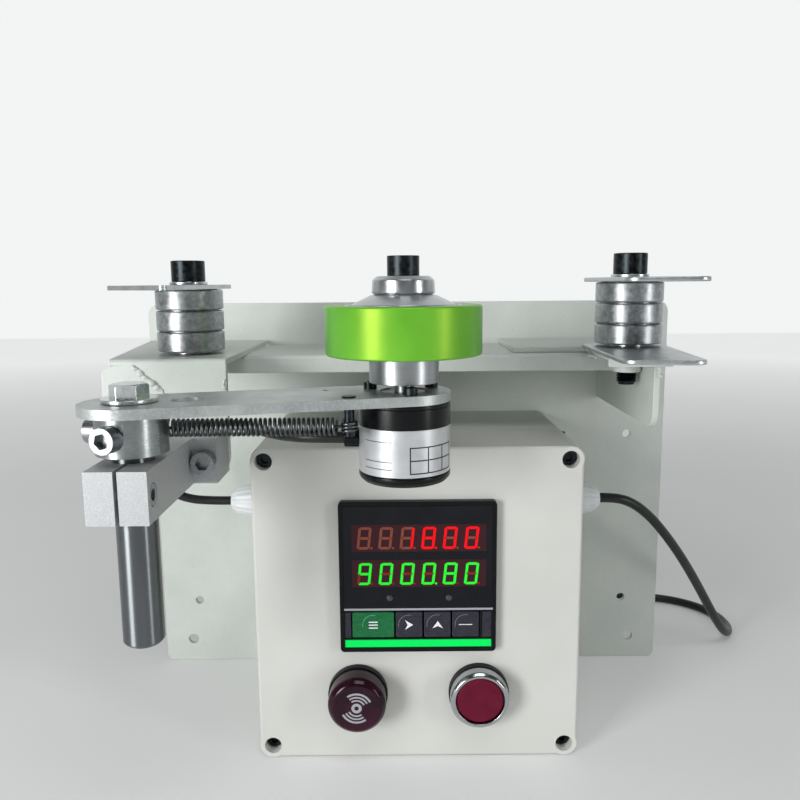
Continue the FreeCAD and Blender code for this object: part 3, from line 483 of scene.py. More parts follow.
def picture_rays(tree):
    """1 for a ray from the camera, from a mirror or through glass; 0 for the rest."""
    is_ray = add_node(tree, "ShaderNodeLightPath").outputs
    clear = add_node(tree, "ShaderNodeMath", {0: is_ray["Is Camera Ray"], 1: is_ray["Is Glossy Ray"]},
                     operation="MAXIMUM")
    every = add_node(tree, "ShaderNodeMath", {0: clear.outputs["Value"], 1: is_ray["Is Transmission Ray"]},
                     operation="MAXIMUM")
    return every.outputs["Value"]


print("backdrop", BACKDROP)

# %% [markdown]
# The floor's glow grows with the distance from the middle, so the sheet is darkest under the object,
# where its shadow has to be seen.

# %% Floor
FLOOR_HALF = 3.0
FLOOR_DROP = 0.2 * MM
GLOW_FROM, GLOW_TO = 0.3, 2.2
GLOW_LOW, GLOW_HIGH = 0.08, 0.6

floor_paper = finish("pale_floor_paper", "#e4e5e5", 0.8)
fibre = noise(floor_paper, 400.0)
connect(floor_paper, tinted(floor_paper, fibre, "#e1e2e2", "#e8e9e9", 0.3, 0.7), "Base Color")
floor_nodes = floor_paper.node_tree
spot = add_node(floor_nodes, "ShaderNodeTexCoord")
distance = add_node(floor_nodes, "ShaderNodeVectorMath", {0: spot.outputs["Object"]}, operation="LENGTH")
glow = add_node(floor_nodes, "ShaderNodeMapRange",
                {"Value": distance.outputs["Value"], "From Min": GLOW_FROM, "From Max": GLOW_TO,
                 "To Min": GLOW_LOW, "To Max": GLOW_HIGH})
shown_glow = add_node(floor_nodes, "ShaderNodeMath",
                      {0: glow.outputs["Result"], 1: picture_rays(floor_nodes)}, operation="MULTIPLY")
floor_nodes.nodes["Principled BSDF"].inputs["Emission Color"].default_value = linear(BACKDROP)
connect(floor_paper, shown_glow.outputs["Value"], "Emission Strength")

bm = bmesh.new()
bmesh.ops.create_grid(bm, x_segments=1, y_segments=1, size=FLOOR_HALF,
                      matrix=Matrix.Translation((0, 0, -FLOOR_DROP)))
floor_mesh = bpy.data.meshes.new("floor")
bm.to_mesh(floor_mesh)
bm.free()
floor_mesh.materials.append(floor_paper)
floor = bpy.data.objects.new("floor", floor_mesh)
scene.collection.objects.link(floor)
print("floor", 2 * FLOOR_HALF, "m")

# %% [markdown]
# The camera sees a pale world on every side. Mirrors see it pale behind the object and grey behind the
# camera, because polished metal shows whatever stands round it, and with one even white it would look like
# chalk. The light that falls on the object is an even level of its own.

# %% World
LIGHT_LEVEL = 0.3
ROOM_BEHIND_CAMERA = "#3c3e40"
ROOM_STOPS = ((0.3, "#343638"), (0.5, "#6d7072"), (0.75, "#dfe0e0"))

world = bpy.data.worlds.new("studio")
scene.world = world
world.use_nodes = True
sky = world.node_tree
sky.nodes.clear()
look = add_node(sky, "ShaderNodeTexCoord")
parts = add_node(sky, "ShaderNodeSeparateXYZ", {"Vector": look.outputs["Generated"]})
depth = add_node(sky, "ShaderNodeMapRange", {"Value": parts.outputs["Y"], "From Min": -1.0, "From Max": 1.0})
room = add_node(sky, "ShaderNodeValToRGB", {"Fac": depth.outputs["Result"]})
stops = room.color_ramp
stops.elements[0].position = 0.0
stops.elements[0].color = linear(ROOM_BEHIND_CAMERA)
stops.elements[1].position = 1.0
stops.elements[1].color = linear(BACKDROP)
for position, colour in ROOM_STOPS:
    stop = stops.elements.new(position)
    stop.color = linear(colour)
ray = add_node(sky, "ShaderNodeLightPath")
shown = add_node(sky, "ShaderNodeMixRGB", {"Fac": ray.outputs["Is Camera Ray"],
                                           "Color1": room.outputs["Color"], "Color2": linear(BACKDROP)})
seen = add_node(sky, "ShaderNodeBackground", {"Color": shown.outputs["Color"], "Strength": 1.0})
lit = add_node(sky, "ShaderNodeBackground", {"Color": linear("#fdfeff"), "Strength": LIGHT_LEVEL})
mixed = add_node(sky, "ShaderNodeMixShader", {0: picture_rays(sky), 1: lit.outputs["Background"],
                                              2: seen.outputs["Background"]})
add_node(sky, "ShaderNodeOutputWorld", {"Surface": mixed.outputs["Shader"]})
print("world level", LIGHT_LEVEL)

# %% [markdown]
# Three rectangular lamps give the long bright lines on the round steel: a large one low on the left, a
# weak one high in front, and a narrow strip on the right.

# %% Lamps
AIM = Vector((0.0, -20.0, 120.0)) * MM


def softbox(name, place, width, height, watts):
    """A rectangular lamp that faces the object."""
    lamp = bpy.data.lights.new(name, "AREA")
    lamp.shape = "RECTANGLE"
    lamp.size = width
    lamp.size_y = height
    lamp.energy = watts
    made = bpy.data.objects.new(name, lamp)
    scene.collection.objects.link(made)
    facing = (AIM - Vector(place)).to_track_quat("-Z", "Y").to_matrix().to_4x4()
    made.matrix_world = Matrix.Translation(place) @ facing
    print("lamp", name, watts, "W")


softbox("left_key", (-0.83, -0.93, 0.3), 0.4, 0.56, 11.5)
softbox("high_front", (0.1, -0.7, 1.2), 0.6, 0.4, 3.0)
softbox("right_strip", (1.05, -0.72, 0.3), 0.2, 0.56, 3.5)

# %% [markdown]
# ## Painted sheet steel
#
# The frame is laser-cut steel, 3 mm thick, with a pale grey-green polyester powder coat. Powder melts
# into a skin with a soft orange peel about a millimetre across, and it gathers a little dust. Cloudy
# colour at hand size and a shallow bump at millimetre size give both.

# %% Powder coat
powder_coat = finish("polyester_powder_coat", "#c3c9c3", 0.42, Coat_Weight=0.08, Coat_Roughness=0.3)
clouds = noise(powder_coat, 45.0, detail=4.0)
coat_colour = tinted(powder_coat, clouds, "#bac1bb", "#c9cec9", 0.3, 0.7)
specks = noise(powder_coat, 1.4, detail=1.0)
dust = between(powder_coat, specks, 0.0, 0.35, 0.66, 0.74)
connect(powder_coat, blended(powder_coat, dust, coat_colour, linear("#a3aaa4")), "Base Color")
connect(powder_coat, between(powder_coat, clouds, 0.36, 0.5), "Roughness")
peel = noise(powder_coat, 1.3, detail=2.0)
connect(powder_coat, relief(powder_coat, peel, 0.035), "Normal")

# %% [markdown]
# ## Sheet and washer plating
#
# Guide plates and panel nuts are zinc plated: a bluish silver with crystal-sized patches that differ in
# brightness. Rolled sheet also keeps faint lines along its rolling direction. Washers and the hexagon
# bolt have a brighter bath, without the lines.

# %% Zinc plate
zinc_plate = finish("zinc_plated_steel", "#bcc1c3", 0.38, 1.0)
spangle = noise(zinc_plate, 6.0, detail=3.0)
connect(zinc_plate, tinted(zinc_plate, spangle, "#acb1b3", "#c3c8c9", 0.3, 0.7), "Base Color")
rolled = noise(zinc_plate, 0.25, stretch=(60, 1, 1), detail=2.0)
connect(zinc_plate, between(zinc_plate, rolled, 0.32, 0.46), "Roughness")
connect(zinc_plate, relief(zinc_plate, noise(zinc_plate, 2.2), 0.008), "Normal")

bright_zinc = finish("bright_zinc_plate", "#d0d4d5", 0.28, 1.0)
wear = noise(bright_zinc, 3.0, detail=3.0)
connect(bright_zinc, tinted(bright_zinc, wear, "#c3c8c9", "#d9dddd", 0.3, 0.7), "Base Color")
connect(bright_zinc, between(bright_zinc, wear, 0.24, 0.34), "Roughness")

# %% [markdown]
# The big socket screws are bare polished steel, dulled unevenly by hands. The swing arm is cut from
# plate with a dull coat and a speckled sawn edge, so it has two clouds: a patina at finger size and a
# speckle just under a millimetre.

# %% Screw steel and arm plate
screw_steel = finish("polished_screw_steel", "#9a9ea0", 0.32, 1.0)
handled = noise(screw_steel, 1.2, detail=3.0)
connect(screw_steel, between(screw_steel, handled, 0.26, 0.4), "Roughness")

arm_plate = finish("dull_plated_plate", "#b0b6b5", 0.42, 0.75)
patina = noise(arm_plate, 14.0, detail=5.0)
speckle = noise(arm_plate, 0.9, detail=3.0, rough=0.7)
arm_tone = tinted(arm_plate, patina, "#9ba2a1", "#bcc2c0", 0.3, 0.7)
speckled = between(arm_plate, speckle, 0.0, 0.35, 0.45, 0.62)
connect(arm_plate, blended(arm_plate, speckled, arm_tone, linear("#d3d8d7")), "Base Color")
connect(arm_plate, between(arm_plate, speckle, 0.34, 0.5, 0.4, 0.6), "Roughness")
connect(arm_plate, relief(arm_plate, speckle, 0.06), "Normal")

# %% [markdown]
# ## Dark screws
#
# Socket-head screws come with black oxide: a thin matt conversion layer with oil in it. It is nearly
# black, but it is still steel beneath, so it keeps a metal's highlight, only duller.

# %% Black oxide
black_oxide = finish("black_oxide_steel", "#2a2e30", 0.34, 1.0)
handling = noise(black_oxide, 2.0, detail=4.0)
connect(black_oxide, tinted(black_oxide, handling, "#24282a", "#3b4042", 0.4, 0.75), "Base Color")
connect(black_oxide, between(black_oxide, handling, 0.28, 0.44), "Roughness")

# %% [markdown]
# ## Ground and turned metal
#
# Fine lines that run round a piece spread its highlight along the axis. The shader's anisotropy does
# that, once its tangent is told to run round the upright axis. Real lines are only a few hundredths of a
# millimetre apart, too fine to show, so the clouds here are drawn about ten times as coarse.

# %% Tool marks
ROUND_Z = (60, 60, 1)


def lathe_turned(material, amount):
    """Stretch the highlight along an upright axis, as fine tool marks that run round it do."""
    round_z = add_node(material.node_tree, "ShaderNodeTangent", direction_type="RADIAL", axis="Z")
    shader = material.node_tree.nodes["Principled BSDF"]
    shader.inputs["Anisotropic"].default_value = amount
    shader.inputs["Anisotropic Rotation"].default_value = 0.25
    connect(material, round_z.outputs["Tangent"], "Tangent")


print("marks are drawn", ROUND_Z[0], "times as long as they are high")

# %% [markdown]
# Bearing rings are ground, then handled: small stains a couple of millimetres across make them look
# patchy. The post is a hard chromed shaft with a long narrow highlight.

# %% Bearing steel and chromed shaft
bearing_steel = finish("ground_bearing_steel", "#aaaeaf", 0.38, 1.0)
lathe_turned(bearing_steel, 0.6)
ground = noise(bearing_steel, 0.3, stretch=ROUND_Z, detail=2.0)
stains = noise(bearing_steel, 2.4, detail=5.0, rough=0.65)
connect(bearing_steel, tinted(bearing_steel, stains, "#909496", "#bfc3c4"), "Base Color")
connect(bearing_steel, between(bearing_steel, stains, 0.34, 0.52), "Roughness")
connect(bearing_steel, relief(bearing_steel, ground, 0.0015), "Normal")

chromed_shaft = finish("hard_chrome_shaft", "#75797b", 0.34, 1.0)
lathe_turned(chromed_shaft, 0.95)
polish = noise(chromed_shaft, 0.4, stretch=ROUND_Z)
connect(chromed_shaft, between(chromed_shaft, polish, 0.33, 0.39), "Roughness")

# %% [markdown]
# The collar is turned from stainless steel, a little yellower and darker than zinc. Spring wire is drawn
# and oiled, so it is dark. The arm's bush is sintered bronze, matt, because it is full of fine pores.

# %% Stainless steel, spring wire and bronze
stainless = finish("turned_stainless", "#989c9d", 0.3, 1.0)
lathe_turned(stainless, 0.6)
turning = noise(stainless, 0.3, stretch=ROUND_Z, detail=2.0)
tarnish = noise(stainless, 6.0, detail=3.0)
connect(stainless, between(stainless, turning, 0.26, 0.34), "Roughness")
connect(stainless, tinted(stainless, tarnish, "#8c9192", "#a0a4a5", 0.3, 0.7), "Base Color")
connect(stainless, relief(stainless, turning, 0.0003), "Normal")

spring_wire = finish("drawn_spring_wire", "#5c6061", 0.3, 1.0)
oil = noise(spring_wire, 1.5)
connect(spring_wire, tinted(spring_wire, oil, "#4c5051", "#6c7071", 0.4, 0.6), "Base Color")

sintered_bronze = finish("sintered_bronze", "#a77c45", 0.45, 1.0)
connect(sintered_bronze, relief(sintered_bronze, noise(sintered_bronze, 0.3), 0.02), "Normal")

# %% [markdown]
# ## Aluminium
#
# The clamp block is bead blasted: a white, grainy skin about half a millimetre coarse that has no clear
# reflection. It is made less than fully metallic, because so rough a skin also scatters light.

# %% Blasted aluminium
blasted_aluminium = finish("blasted_aluminium", "#b3b5b6", 0.55, 0.6)
grit = noise(blasted_aluminium, 0.55, detail=3.0, rough=0.7)
connect(blasted_aluminium, tinted(blasted_aluminium, grit, "#a3a5a7", "#c2c4c5"), "Base Color")
connect(blasted_aluminium, between(blasted_aluminium, grit, 0.45, 0.65), "Roughness")
connect(blasted_aluminium, relief(blasted_aluminium, grit, 0.09), "Normal")

# %% [markdown]
# The wheel's hub is turned and keeps fine rings. Its cone and nut are polished afterwards, so they have
# no rings, only a slightly uneven shine. The encoder's sleeve wears a satin silver label under a thin
# clear film.

# %% Turned and polished aluminium, and the label
turned_aluminium = finish("turned_aluminium", "#b0b3b5", 0.38, 1.0)
lathe_turned(turned_aluminium, 0.6)
rings = noise(turned_aluminium, 0.35, stretch=ROUND_Z, detail=2.0)
connect(turned_aluminium, between(turned_aluminium, rings, 0.36, 0.41), "Roughness")
connect(turned_aluminium, tinted(turned_aluminium, rings, "#abaeb1", "#b5b8ba"), "Base Color")
connect(turned_aluminium, relief(turned_aluminium, rings, 0.0005), "Normal")

bright_aluminium = finish("polished_aluminium", "#bec1c3", 0.32, 1.0)
lathe_turned(bright_aluminium, 0.5)
buffing = noise(bright_aluminium, 4.0, detail=3.0)
connect(bright_aluminium, between(bright_aluminium, buffing, 0.28, 0.38), "Roughness")

label_sleeve = finish("satin_silver_label", "#c0c2c4", 0.36, 0.55, Coat_Weight=0.1, Coat_Roughness=0.2)
foil = noise(label_sleeve, 6.0, detail=2.0)
connect(label_sleeve, tinted(label_sleeve, foil, "#bbbdbf", "#c7c9cb", 0.3, 0.7), "Base Color")
connect(label_sleeve, between(label_sleeve, foil, 0.3, 0.38), "Roughness")

# %% [markdown]
# ## Moulded plastics
#
# The box is ABS, moulded against a spark-eroded tool, so it has a fine even grain and a broad soft sheen.
# The bezel is black ABS with the same grain. The encoder's case is black anodised metal, smoother, with
# a tighter highlight.

# %% ABS and anodised black
box_abs = finish("moulded_abs_grey", "#c9cac5", 0.5, Specular_IOR_Level=0.4)
box_clouds = noise(box_abs, 60.0, detail=3.0)
spark_grain = noise(box_abs, 0.35, detail=2.0)
connect(box_abs, tinted(box_abs, box_clouds, "#c4c5c0", "#cdcec9", 0.3, 0.7), "Base Color")
connect(box_abs, between(box_abs, spark_grain, 0.44, 0.56), "Roughness")
connect(box_abs, relief(box_abs, spark_grain, 0.015), "Normal")

black_abs = finish("moulded_abs_black", "#0d0f11", 0.36, Specular_IOR_Level=0.14)
connect(black_abs, tinted(black_abs, noise(black_abs, 8.0), "#0b0c0e", "#111315", 0.3, 0.7), "Base Color")
connect(black_abs, relief(black_abs, noise(black_abs, 0.3), 0.012), "Normal")

anodised_black = finish("black_anodised_case", "#070a0b", 0.24, Specular_IOR_Level=0.2)
oxide = noise(anodised_black, 5.0, detail=2.0)
connect(anodised_black, between(anodised_black, oxide, 0.21, 0.28), "Roughness")

# %% [markdown]
# Nylon glands are whiter and a little translucent, which a touch of subsurface light gives. The lid's
# seal is foam: matt, nearly black, with pores of half a millimetre.

# %% Nylon and foam
white_nylon = finish("white_nylon", "#d2d6d8", 0.4, Subsurface_Weight=0.15, Subsurface_Scale=0.003)
milk = noise(white_nylon, 6.0)
connect(white_nylon, tinted(white_nylon, milk, "#cdd2d4", "#d9ddde", 0.3, 0.7), "Base Color")

foam_seal = finish("black_foam_seal", "#232424", 0.8)
connect(foam_seal, relief(foam_seal, noise(foam_seal, 0.5), 0.05), "Normal")

# %% [markdown]
# ## Polyurethane tyre
#
# Cast polyurethane is a clear green rubber. Light goes in, scatters and comes out brighter and yellower,
# so the tyre seems lit from within, while its skin stays glossy. Subsurface light with a long green
# radius does that. Its highlight is tinted yellow. Where the tyre is seen edge on, its colour is blended
# to a darker green: a painted shade.

# %% Tyre
tyre_green = finish("cast_polyurethane_green", "#62ad36", 0.34, Subsurface_Weight=0.3,
                    Subsurface_Scale=0.004, Specular_IOR_Level=1.0)
tyre_shader = tyre_green.node_tree.nodes["Principled BSDF"]
tyre_shader.inputs["Subsurface Radius"].default_value = (0.5, 1.0, 0.15)
tyre_shader.inputs["Specular Tint"].default_value = linear("#e9ff5c")
# Seen edge on, the green turns darker: painted shade.
edge_on_shade = add_node(tyre_green.node_tree, "ShaderNodeLayerWeight", {"Blend": 0.35})
tyre_tone = tinted(tyre_green, noise(tyre_green, 18.0, detail=2.0), "#58a22e", "#66b238", 0.3, 0.7)
shaded_tyre_colour = blended(tyre_green, edge_on_shade.outputs["Facing"], tyre_tone, linear("#3c8a2b"))
grinding = noise(tyre_green, 0.9, stretch=(20, 20, 1))
connect(tyre_green, shaded_tyre_colour, "Base Color")
connect(tyre_green, relief(tyre_green, grinding, 0.012), "Normal")

# %% [markdown]
# ## The meter's face
#
# The meter's face is a glossy film, with a dark red screen behind each window. Lit segments give light of
# their own. The unlit bars, the screens and the printed green bar glow weakly as well, though none of them
# is lit: painted light that keeps them dull brown, dark red and green. One helper makes all of them.

# %% Film, segments and screen
def glowing(name, colour, strength):
    """A plastic that gives off its own colour, as a lit light guide does; on unlit parts the glow is painted
    light.
    """
    material = finish(name, colour, 0.5, Specular_IOR_Level=0.1)
    shader = material.node_tree.nodes["Principled BSDF"]
    shader.inputs["Emission Color"].default_value = linear(colour)
    shader.inputs["Emission Strength"].default_value = strength
    return material


face_film = finish("gloss_printed_film", "#0f1016", 0.22, Specular_IOR_Level=0.2)
film_tone = tinted(face_film, noise(face_film, 10.0), "#0d0e14", "#13141a", 0.3, 0.7)
connect(face_film, film_tone, "Base Color")
lit_red = glowing("segment_lit_red", "#d60a12", 0.5)
lit_green = glowing("segment_lit_green", "#24d030", 0.46)
# The unlit bars, the screen backing and the printed green bar glow though they are not lit: painted light.
glowing_unlit_orange = glowing("segment_unlit_orange", "#6f3c31", 0.4)
glowing_unlit_red = glowing("segment_unlit_red", "#6d211f", 0.4)
display_back = glowing("display_backing", "#321a1e", 0.25)
bar_green = glowing("printed_green_bar", "#04cc52", 0.4)

# %% [markdown]
# Screen-printing ink is matt and opaque. The keys are silicone rubber, softer in shine than the bezel.
# The thin raised arc on each key is drawn paler than the key: a painted highlight on the lit upper left
# of an embossed ring.

# %% Inks and key rubber
print_white = finish("white_print", "#e6e8ec", 0.5)
print_grey = finish("pale_print_line", "#9b9ea3", 0.45)
print_black = finish("black_label_print", "#1b1c1e", 0.5)
led_lens = finish("grey_led_lens", "#3a3b40", 0.3)
# Paler arcs on the keys: a painted highlight on the lit side of an embossed ring.
grey_arc_highlight = finish("key_arc_painted_highlight_grey", "#6b6a74", 0.4)
green_arc_highlight = finish("key_arc_painted_highlight_green", "#58a579", 0.4)

key_rubber = finish("ribbed_key_black", "#2a2933", 0.48, Specular_IOR_Level=0.3)
connect(key_rubber, tinted(key_rubber, noise(key_rubber, 2.0), "#282731", "#33323d", 0.3, 0.7), "Base Color")
key_green = finish("ribbed_key_green", "#16683b", 0.45, Specular_IOR_Level=0.3)
connect(key_green, tinted(key_green, noise(key_green, 2.0), "#146036", "#1b7040", 0.3, 0.7), "Base Color")

# %% [markdown]
# The buzzer's lens and the button's cap are dark red plastics that differ in clearness: the lens is
# glossy and nearly black, the cap satin and crimson. The ring round the cap is satin chrome.

# %% Buzzer and button finishes
buzzer_lens_red = finish("clear_dark_red_lens", "#280b1a", 0.14, Specular_IOR_Level=0.25)
lens_tone = tinted(buzzer_lens_red, noise(buzzer_lens_red, 9.0), "#200915", "#371024", 0.35, 0.7)
connect(buzzer_lens_red, lens_tone, "Base Color")

button_red = finish("satin_crimson_cap", "#5e1029", 0.4, Specular_IOR_Level=0.14)
connect(button_red, tinted(button_red, noise(button_red, 7.0), "#590f26", "#66142e", 0.3, 0.7), "Base Color")

ring_chrome = finish("satin_chrome_ring", "#b4b7b9", 0.2, 1.0)
connect(ring_chrome, between(ring_chrome, noise(ring_chrome, 3.0), 0.16, 0.24), "Roughness")
print("materials", len(bpy.data.materials))

# %% [markdown]
# ## Frame sheets
#
# The back plate, the shelf with its down-turned lip, the bracket and the gusset are one welded frame.
# Their laser-cut edges are barely broken, and the powder rounds them to about half a millimetre.

# %% Back plate, shelf, bracket and gusset
POWDERED_EDGE_MM = 0.5
for sheet_node in ("back_plate", "shelf", "left_bracket", "right_gusset"):
    softened(sheet_node, "frame", powder_coat, "powder_coat", POWDERED_EDGE_MM)

# %% [markdown]
# ## Guides, washers and nuts
#
# The cable guides are plated sheet with a rounded, polished edge, so a cable doesn't catch on it.

# %% Guides and washers
for guide in ("left_top_guide", "right_top_guide", "right_lower_guide"):
    softened(guide, "frame", zinc_plate, "zinc_plate", 0.55, 3)
softened("plain_washers", "frame", bright_zinc, "zinc_plate", 0.3)
softened("roller_nuts", "frame", powder_coat, "powder_coat", 0.4)
softened("clamp_screws", "frame", screw_steel, "plated_steel", 0.7, 3)

# %% [markdown]
# The roller bolts come through the deck and show their thread below it. The plain shank of the node is
# cut off under the nut, and a row of V-grooves, turned on the lathe, takes its place.

# %% Roller bolts with a thread
ROLLER_X, ROLLER_Y = 107.0, -31.5
THREAD_R, THREAD_ROOT_R, THREAD_PITCH = 5.0, 4.25, 1.25
THREAD_TOP, THREAD_LOW = 194.5, 187.1
PLAIN_END = 1.4

bm = merged_copy("roller_bolts")
bmesh.ops.bisect_plane(bm, geom=bm.verts[:] + bm.edges[:] + bm.faces[:], dist=0.001 * MM,
                       plane_co=(0, 0, THREAD_TOP * MM), plane_no=(0, 0, 1), clear_inner=True)
close_ends(bm)
bevel(bm, sharp_edges(bm), 0.6, 2)
grooves = [(0, THREAD_TOP)]
level = THREAD_TOP
while level > THREAD_LOW + PLAIN_END:
    grooves += [(THREAD_ROOT_R, level), (THREAD_R, level - THREAD_PITCH / 2)]
    level -= THREAD_PITCH
grooves += [(THREAD_ROOT_R, level), (THREAD_ROOT_R - 0.5, THREAD_LOW), (0, THREAD_LOW)]
for sign in (-1, 1):
    pour(bm, turned(grooves, (sign * ROLLER_X, ROLLER_Y, 0), steps=48))
settle(bm, "roller_bolts_threaded", "frame", [black_oxide], "black_oxide", "roller_bolts")
print("thread grooves", (len(grooves) - 4) // 2)

# %% [markdown]
# ## Guide bearings
#
# Each stack is three ball bearings. An outer ring is ground all round and its corners are lapped to a
# radius, so between two rings there is a dark groove with a bright line above and below it. The rings
# are turned on a lathe profile, which gives cleaner highlights than any cut solid. Each rides on its own
# body, so that it can spin by itself.

# %% Bearing rings
BEARING_R, RACE_R, BEARING_W, RING_GAP = 16.0, 13.6, 10.0, 0.5
STACK_Z = {"left": 205.2, "right": 207.2}

ring_section = tube_section(RACE_R, BEARING_R, 0, BEARING_W - RING_GAP)
for side, sign in (("left", -1), ("right", 1)):
    for level, place in enumerate(("bottom", "middle", "top")):
        low = STACK_Z[side] + level * BEARING_W + RING_GAP / 2
        bm = turned(ring_section, (sign * ROLLER_X, ROLLER_Y, low), closed=True)
        bevel(bm, ring_edges(bm), 1.0, 4)
        settle(bm, side + "_bearing_ring_" + place, side + "_ring_" + place, [bearing_steel], "bearing_steel",
               side + "_roller_" + place)
softened("bearing_inner_rings", "frame", bearing_steel, "bearing_steel", 0.3)

# %% [markdown]
# ## Post, collar and clamp block
#
# The clamp block is bead blasted and grips the chromed post. The collar above it is turned stainless
# with flats under its two screws.

# %% Post, collar and block
softened("clamp_block", "frame", blasted_aluminium, "cast_aluminium", 0.8, 3)
softened("post_rod", "frame", chromed_shaft, "polished_rod", 0.3)
softened("spring_collar", "frame", stainless, "plated_steel", 0.4)

# %% [markdown]
# A hexagon head is turned before it is cut, so a cone of 30 degrees takes off its corners. A ring of flat
# cuts, each leaning outwards, makes that cone on the node's own head. Only the six upright edges that are
# left are then rounded.

# %% Pivot bolt
POST_X, POST_Y = -106.5, -122.0
CHAMFER_R, CHAMFER_CUTS, CHAMFER_LEAN = 6.15, 48, math.radians(30)
UPRIGHT = 2 * MM

bm = merged_copy("pivot_bolt")
head_top = max(v.co.z for v in bm.verts)
head_middle = Vector((POST_X * MM, POST_Y * MM, head_top))
for i in range(CHAMFER_CUTS):
    turn_by = 2 * math.pi * i / CHAMFER_CUTS
    out = Vector((math.cos(turn_by), math.sin(turn_by), 0))
    bmesh.ops.bisect_plane(bm, geom=bm.verts[:] + bm.edges[:] + bm.faces[:], dist=0.001 * MM,
                           plane_co=head_middle + out * CHAMFER_R * MM,
                           plane_no=out * math.sin(CHAMFER_LEAN) + Z * math.cos(CHAMFER_LEAN),
                           clear_outer=True)
    close_ends(bm)
corners = [e for e in sharp_edges(bm) if abs(e.verts[0].co.z - e.verts[1].co.z) > UPRIGHT]
bevel(bm, corners, 0.4, 2)
settle(bm, "chamfered_pivot_bolt", "frame", [bright_zinc], "zinc_plate", "pivot_bolt")
print("head top", round(head_top / MM, 2))

# %% [markdown]
# ## Swing arm
#
# The arm is 4 mm plate with a speckled cut edge, a bronze bush and the pin that holds the spring.

# %% Arm
softened("swing_arm", "arm", arm_plate, "plated_steel", 0.45)
softened("arm_bush", "arm", sintered_bronze, "bronze", 0.2)
softened("spring_post", "arm", black_oxide, "zinc_plate", 0.3)
softened("encoder_screws", "arm", black_oxide, "black_oxide", 0.25)

# %% [markdown]
# ## Tension spring
#
# A spring is a wire swept along a helix. The spin operator can move its section a little along the axis
# at each step, which makes exactly that sweep. The same helper winds the hook round the pin.

# %% Coils
SPRING_Y, SPRING_Z, SPRING_X0, SPRING_X1 = -115.0, 182.6, -94.4, -29.0
SPRING_R, WIRE_R, SPRING_TURNS, SPRING_STEPS = 3.1, 0.62, 35, 18
SPRING_FROM = Vector((SPRING_X0, SPRING_Y, SPRING_Z)) * MM


def coiled(bm, first, centre, axis, pitch, turns, steps, sides):
    """Sweep a round wire along a helix; first is where the wire's middle starts, pitch is in mm."""
    wire = bmesh.ops.create_circle(bm, cap_ends=False, radius=WIRE_R * MM, segments=sides)["verts"]
    ring = [e for e in bm.edges if e.verts[0] in wire]
    bmesh.ops.transform(bm, matrix=Matrix.Translation(first) @ Matrix.Rotation(math.pi / 2, 4, "X"),
                        verts=wire)
    bmesh.ops.spin(bm, geom=wire + ring, cent=centre, axis=axis,
                   dvec=axis * (pitch / steps * MM), angle=2 * math.pi * turns, steps=turns * steps,
                   use_merge=False, use_duplicate=False)
    close_ends(bm)


bm = bmesh.new()
coiled(bm, SPRING_FROM + Z * SPRING_R * MM, SPRING_FROM, X, (SPRING_X1 - SPRING_X0) / SPRING_TURNS,
       SPRING_TURNS, SPRING_STEPS, 10)
print("coil pitch", round((SPRING_X1 - SPRING_X0) / SPRING_TURNS, 2), "mm")

# %% [markdown]
# At each end a straight wire leads away from the coils. One runs into the collar. The other ends in a
# hook that winds three close turns round the pin.

# %% Hooks
SPRING_PIN_X = -24.4
HOOK_R, HOOK_TURNS, HOOK_STEPS, HOOK_DROP = 2.75, 3, 24, 1.6
TAILS = ((SPRING_X0 - 2.7, SPRING_X0 + 1.5), (SPRING_X1 - 1.5, SPRING_PIN_X - 2.0))

for x0, x1 in TAILS:
    middle = Matrix.Translation(Vector(((x0 + x1) / 2, SPRING_Y, SPRING_Z)) * MM)
    bmesh.ops.create_cone(bm, cap_ends=True, segments=10, radius1=WIRE_R * MM, radius2=WIRE_R * MM,
                          depth=(x1 - x0) * MM, matrix=middle @ Matrix.Rotation(math.pi / 2, 4, "Y"))
pin = Vector((SPRING_PIN_X, SPRING_Y, SPRING_Z)) * MM
coiled(bm, pin - (X * HOOK_R + Z * HOOK_DROP) * MM, pin, Z, 2.1 * WIRE_R, HOOK_TURNS, HOOK_STEPS, 8)
print("hook turns", HOOK_TURNS)

# %% [markdown]
# The spring is hooked to the fixed collar and to a pin on the arm.

# %% Spring between collar and arm
bmesh.ops.recalc_face_normals(bm, faces=bm.faces)
spring = settle(bm, "tension_spring_coils", None, [spring_wire], "spring_steel", "tension_spring")
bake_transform(spring)

# %% [markdown]
# ## Encoder
#
# The encoder is a black flange with an 8 mm band, a satin sleeve and a black end cap with a soft lower
# edge. All three are turned, so all three come from lathe profiles, given from the top downwards. Its lead
# leaves through a short round outlet.

# %% Encoder body
WHEEL_X, WHEEL_Y = -3.0, -96.0
ENCODER_R, ENCODER_TOP = 19.0, 188.4
BAND_H, SLEEVE_H = 8.0, 19.0
SLEEVE_TOP = ENCODER_TOP - BAND_H
CAP_TOP = SLEEVE_TOP - SLEEVE_H
CAP = [(0, 0), (ENCODER_R, 0), (ENCODER_R, -2.4), (ENCODER_R - 2.0, -4.4), (0, -4.4)]
OUTLET_AT = (WHEEL_X - 18.0, WHEEL_Y, 174.5)

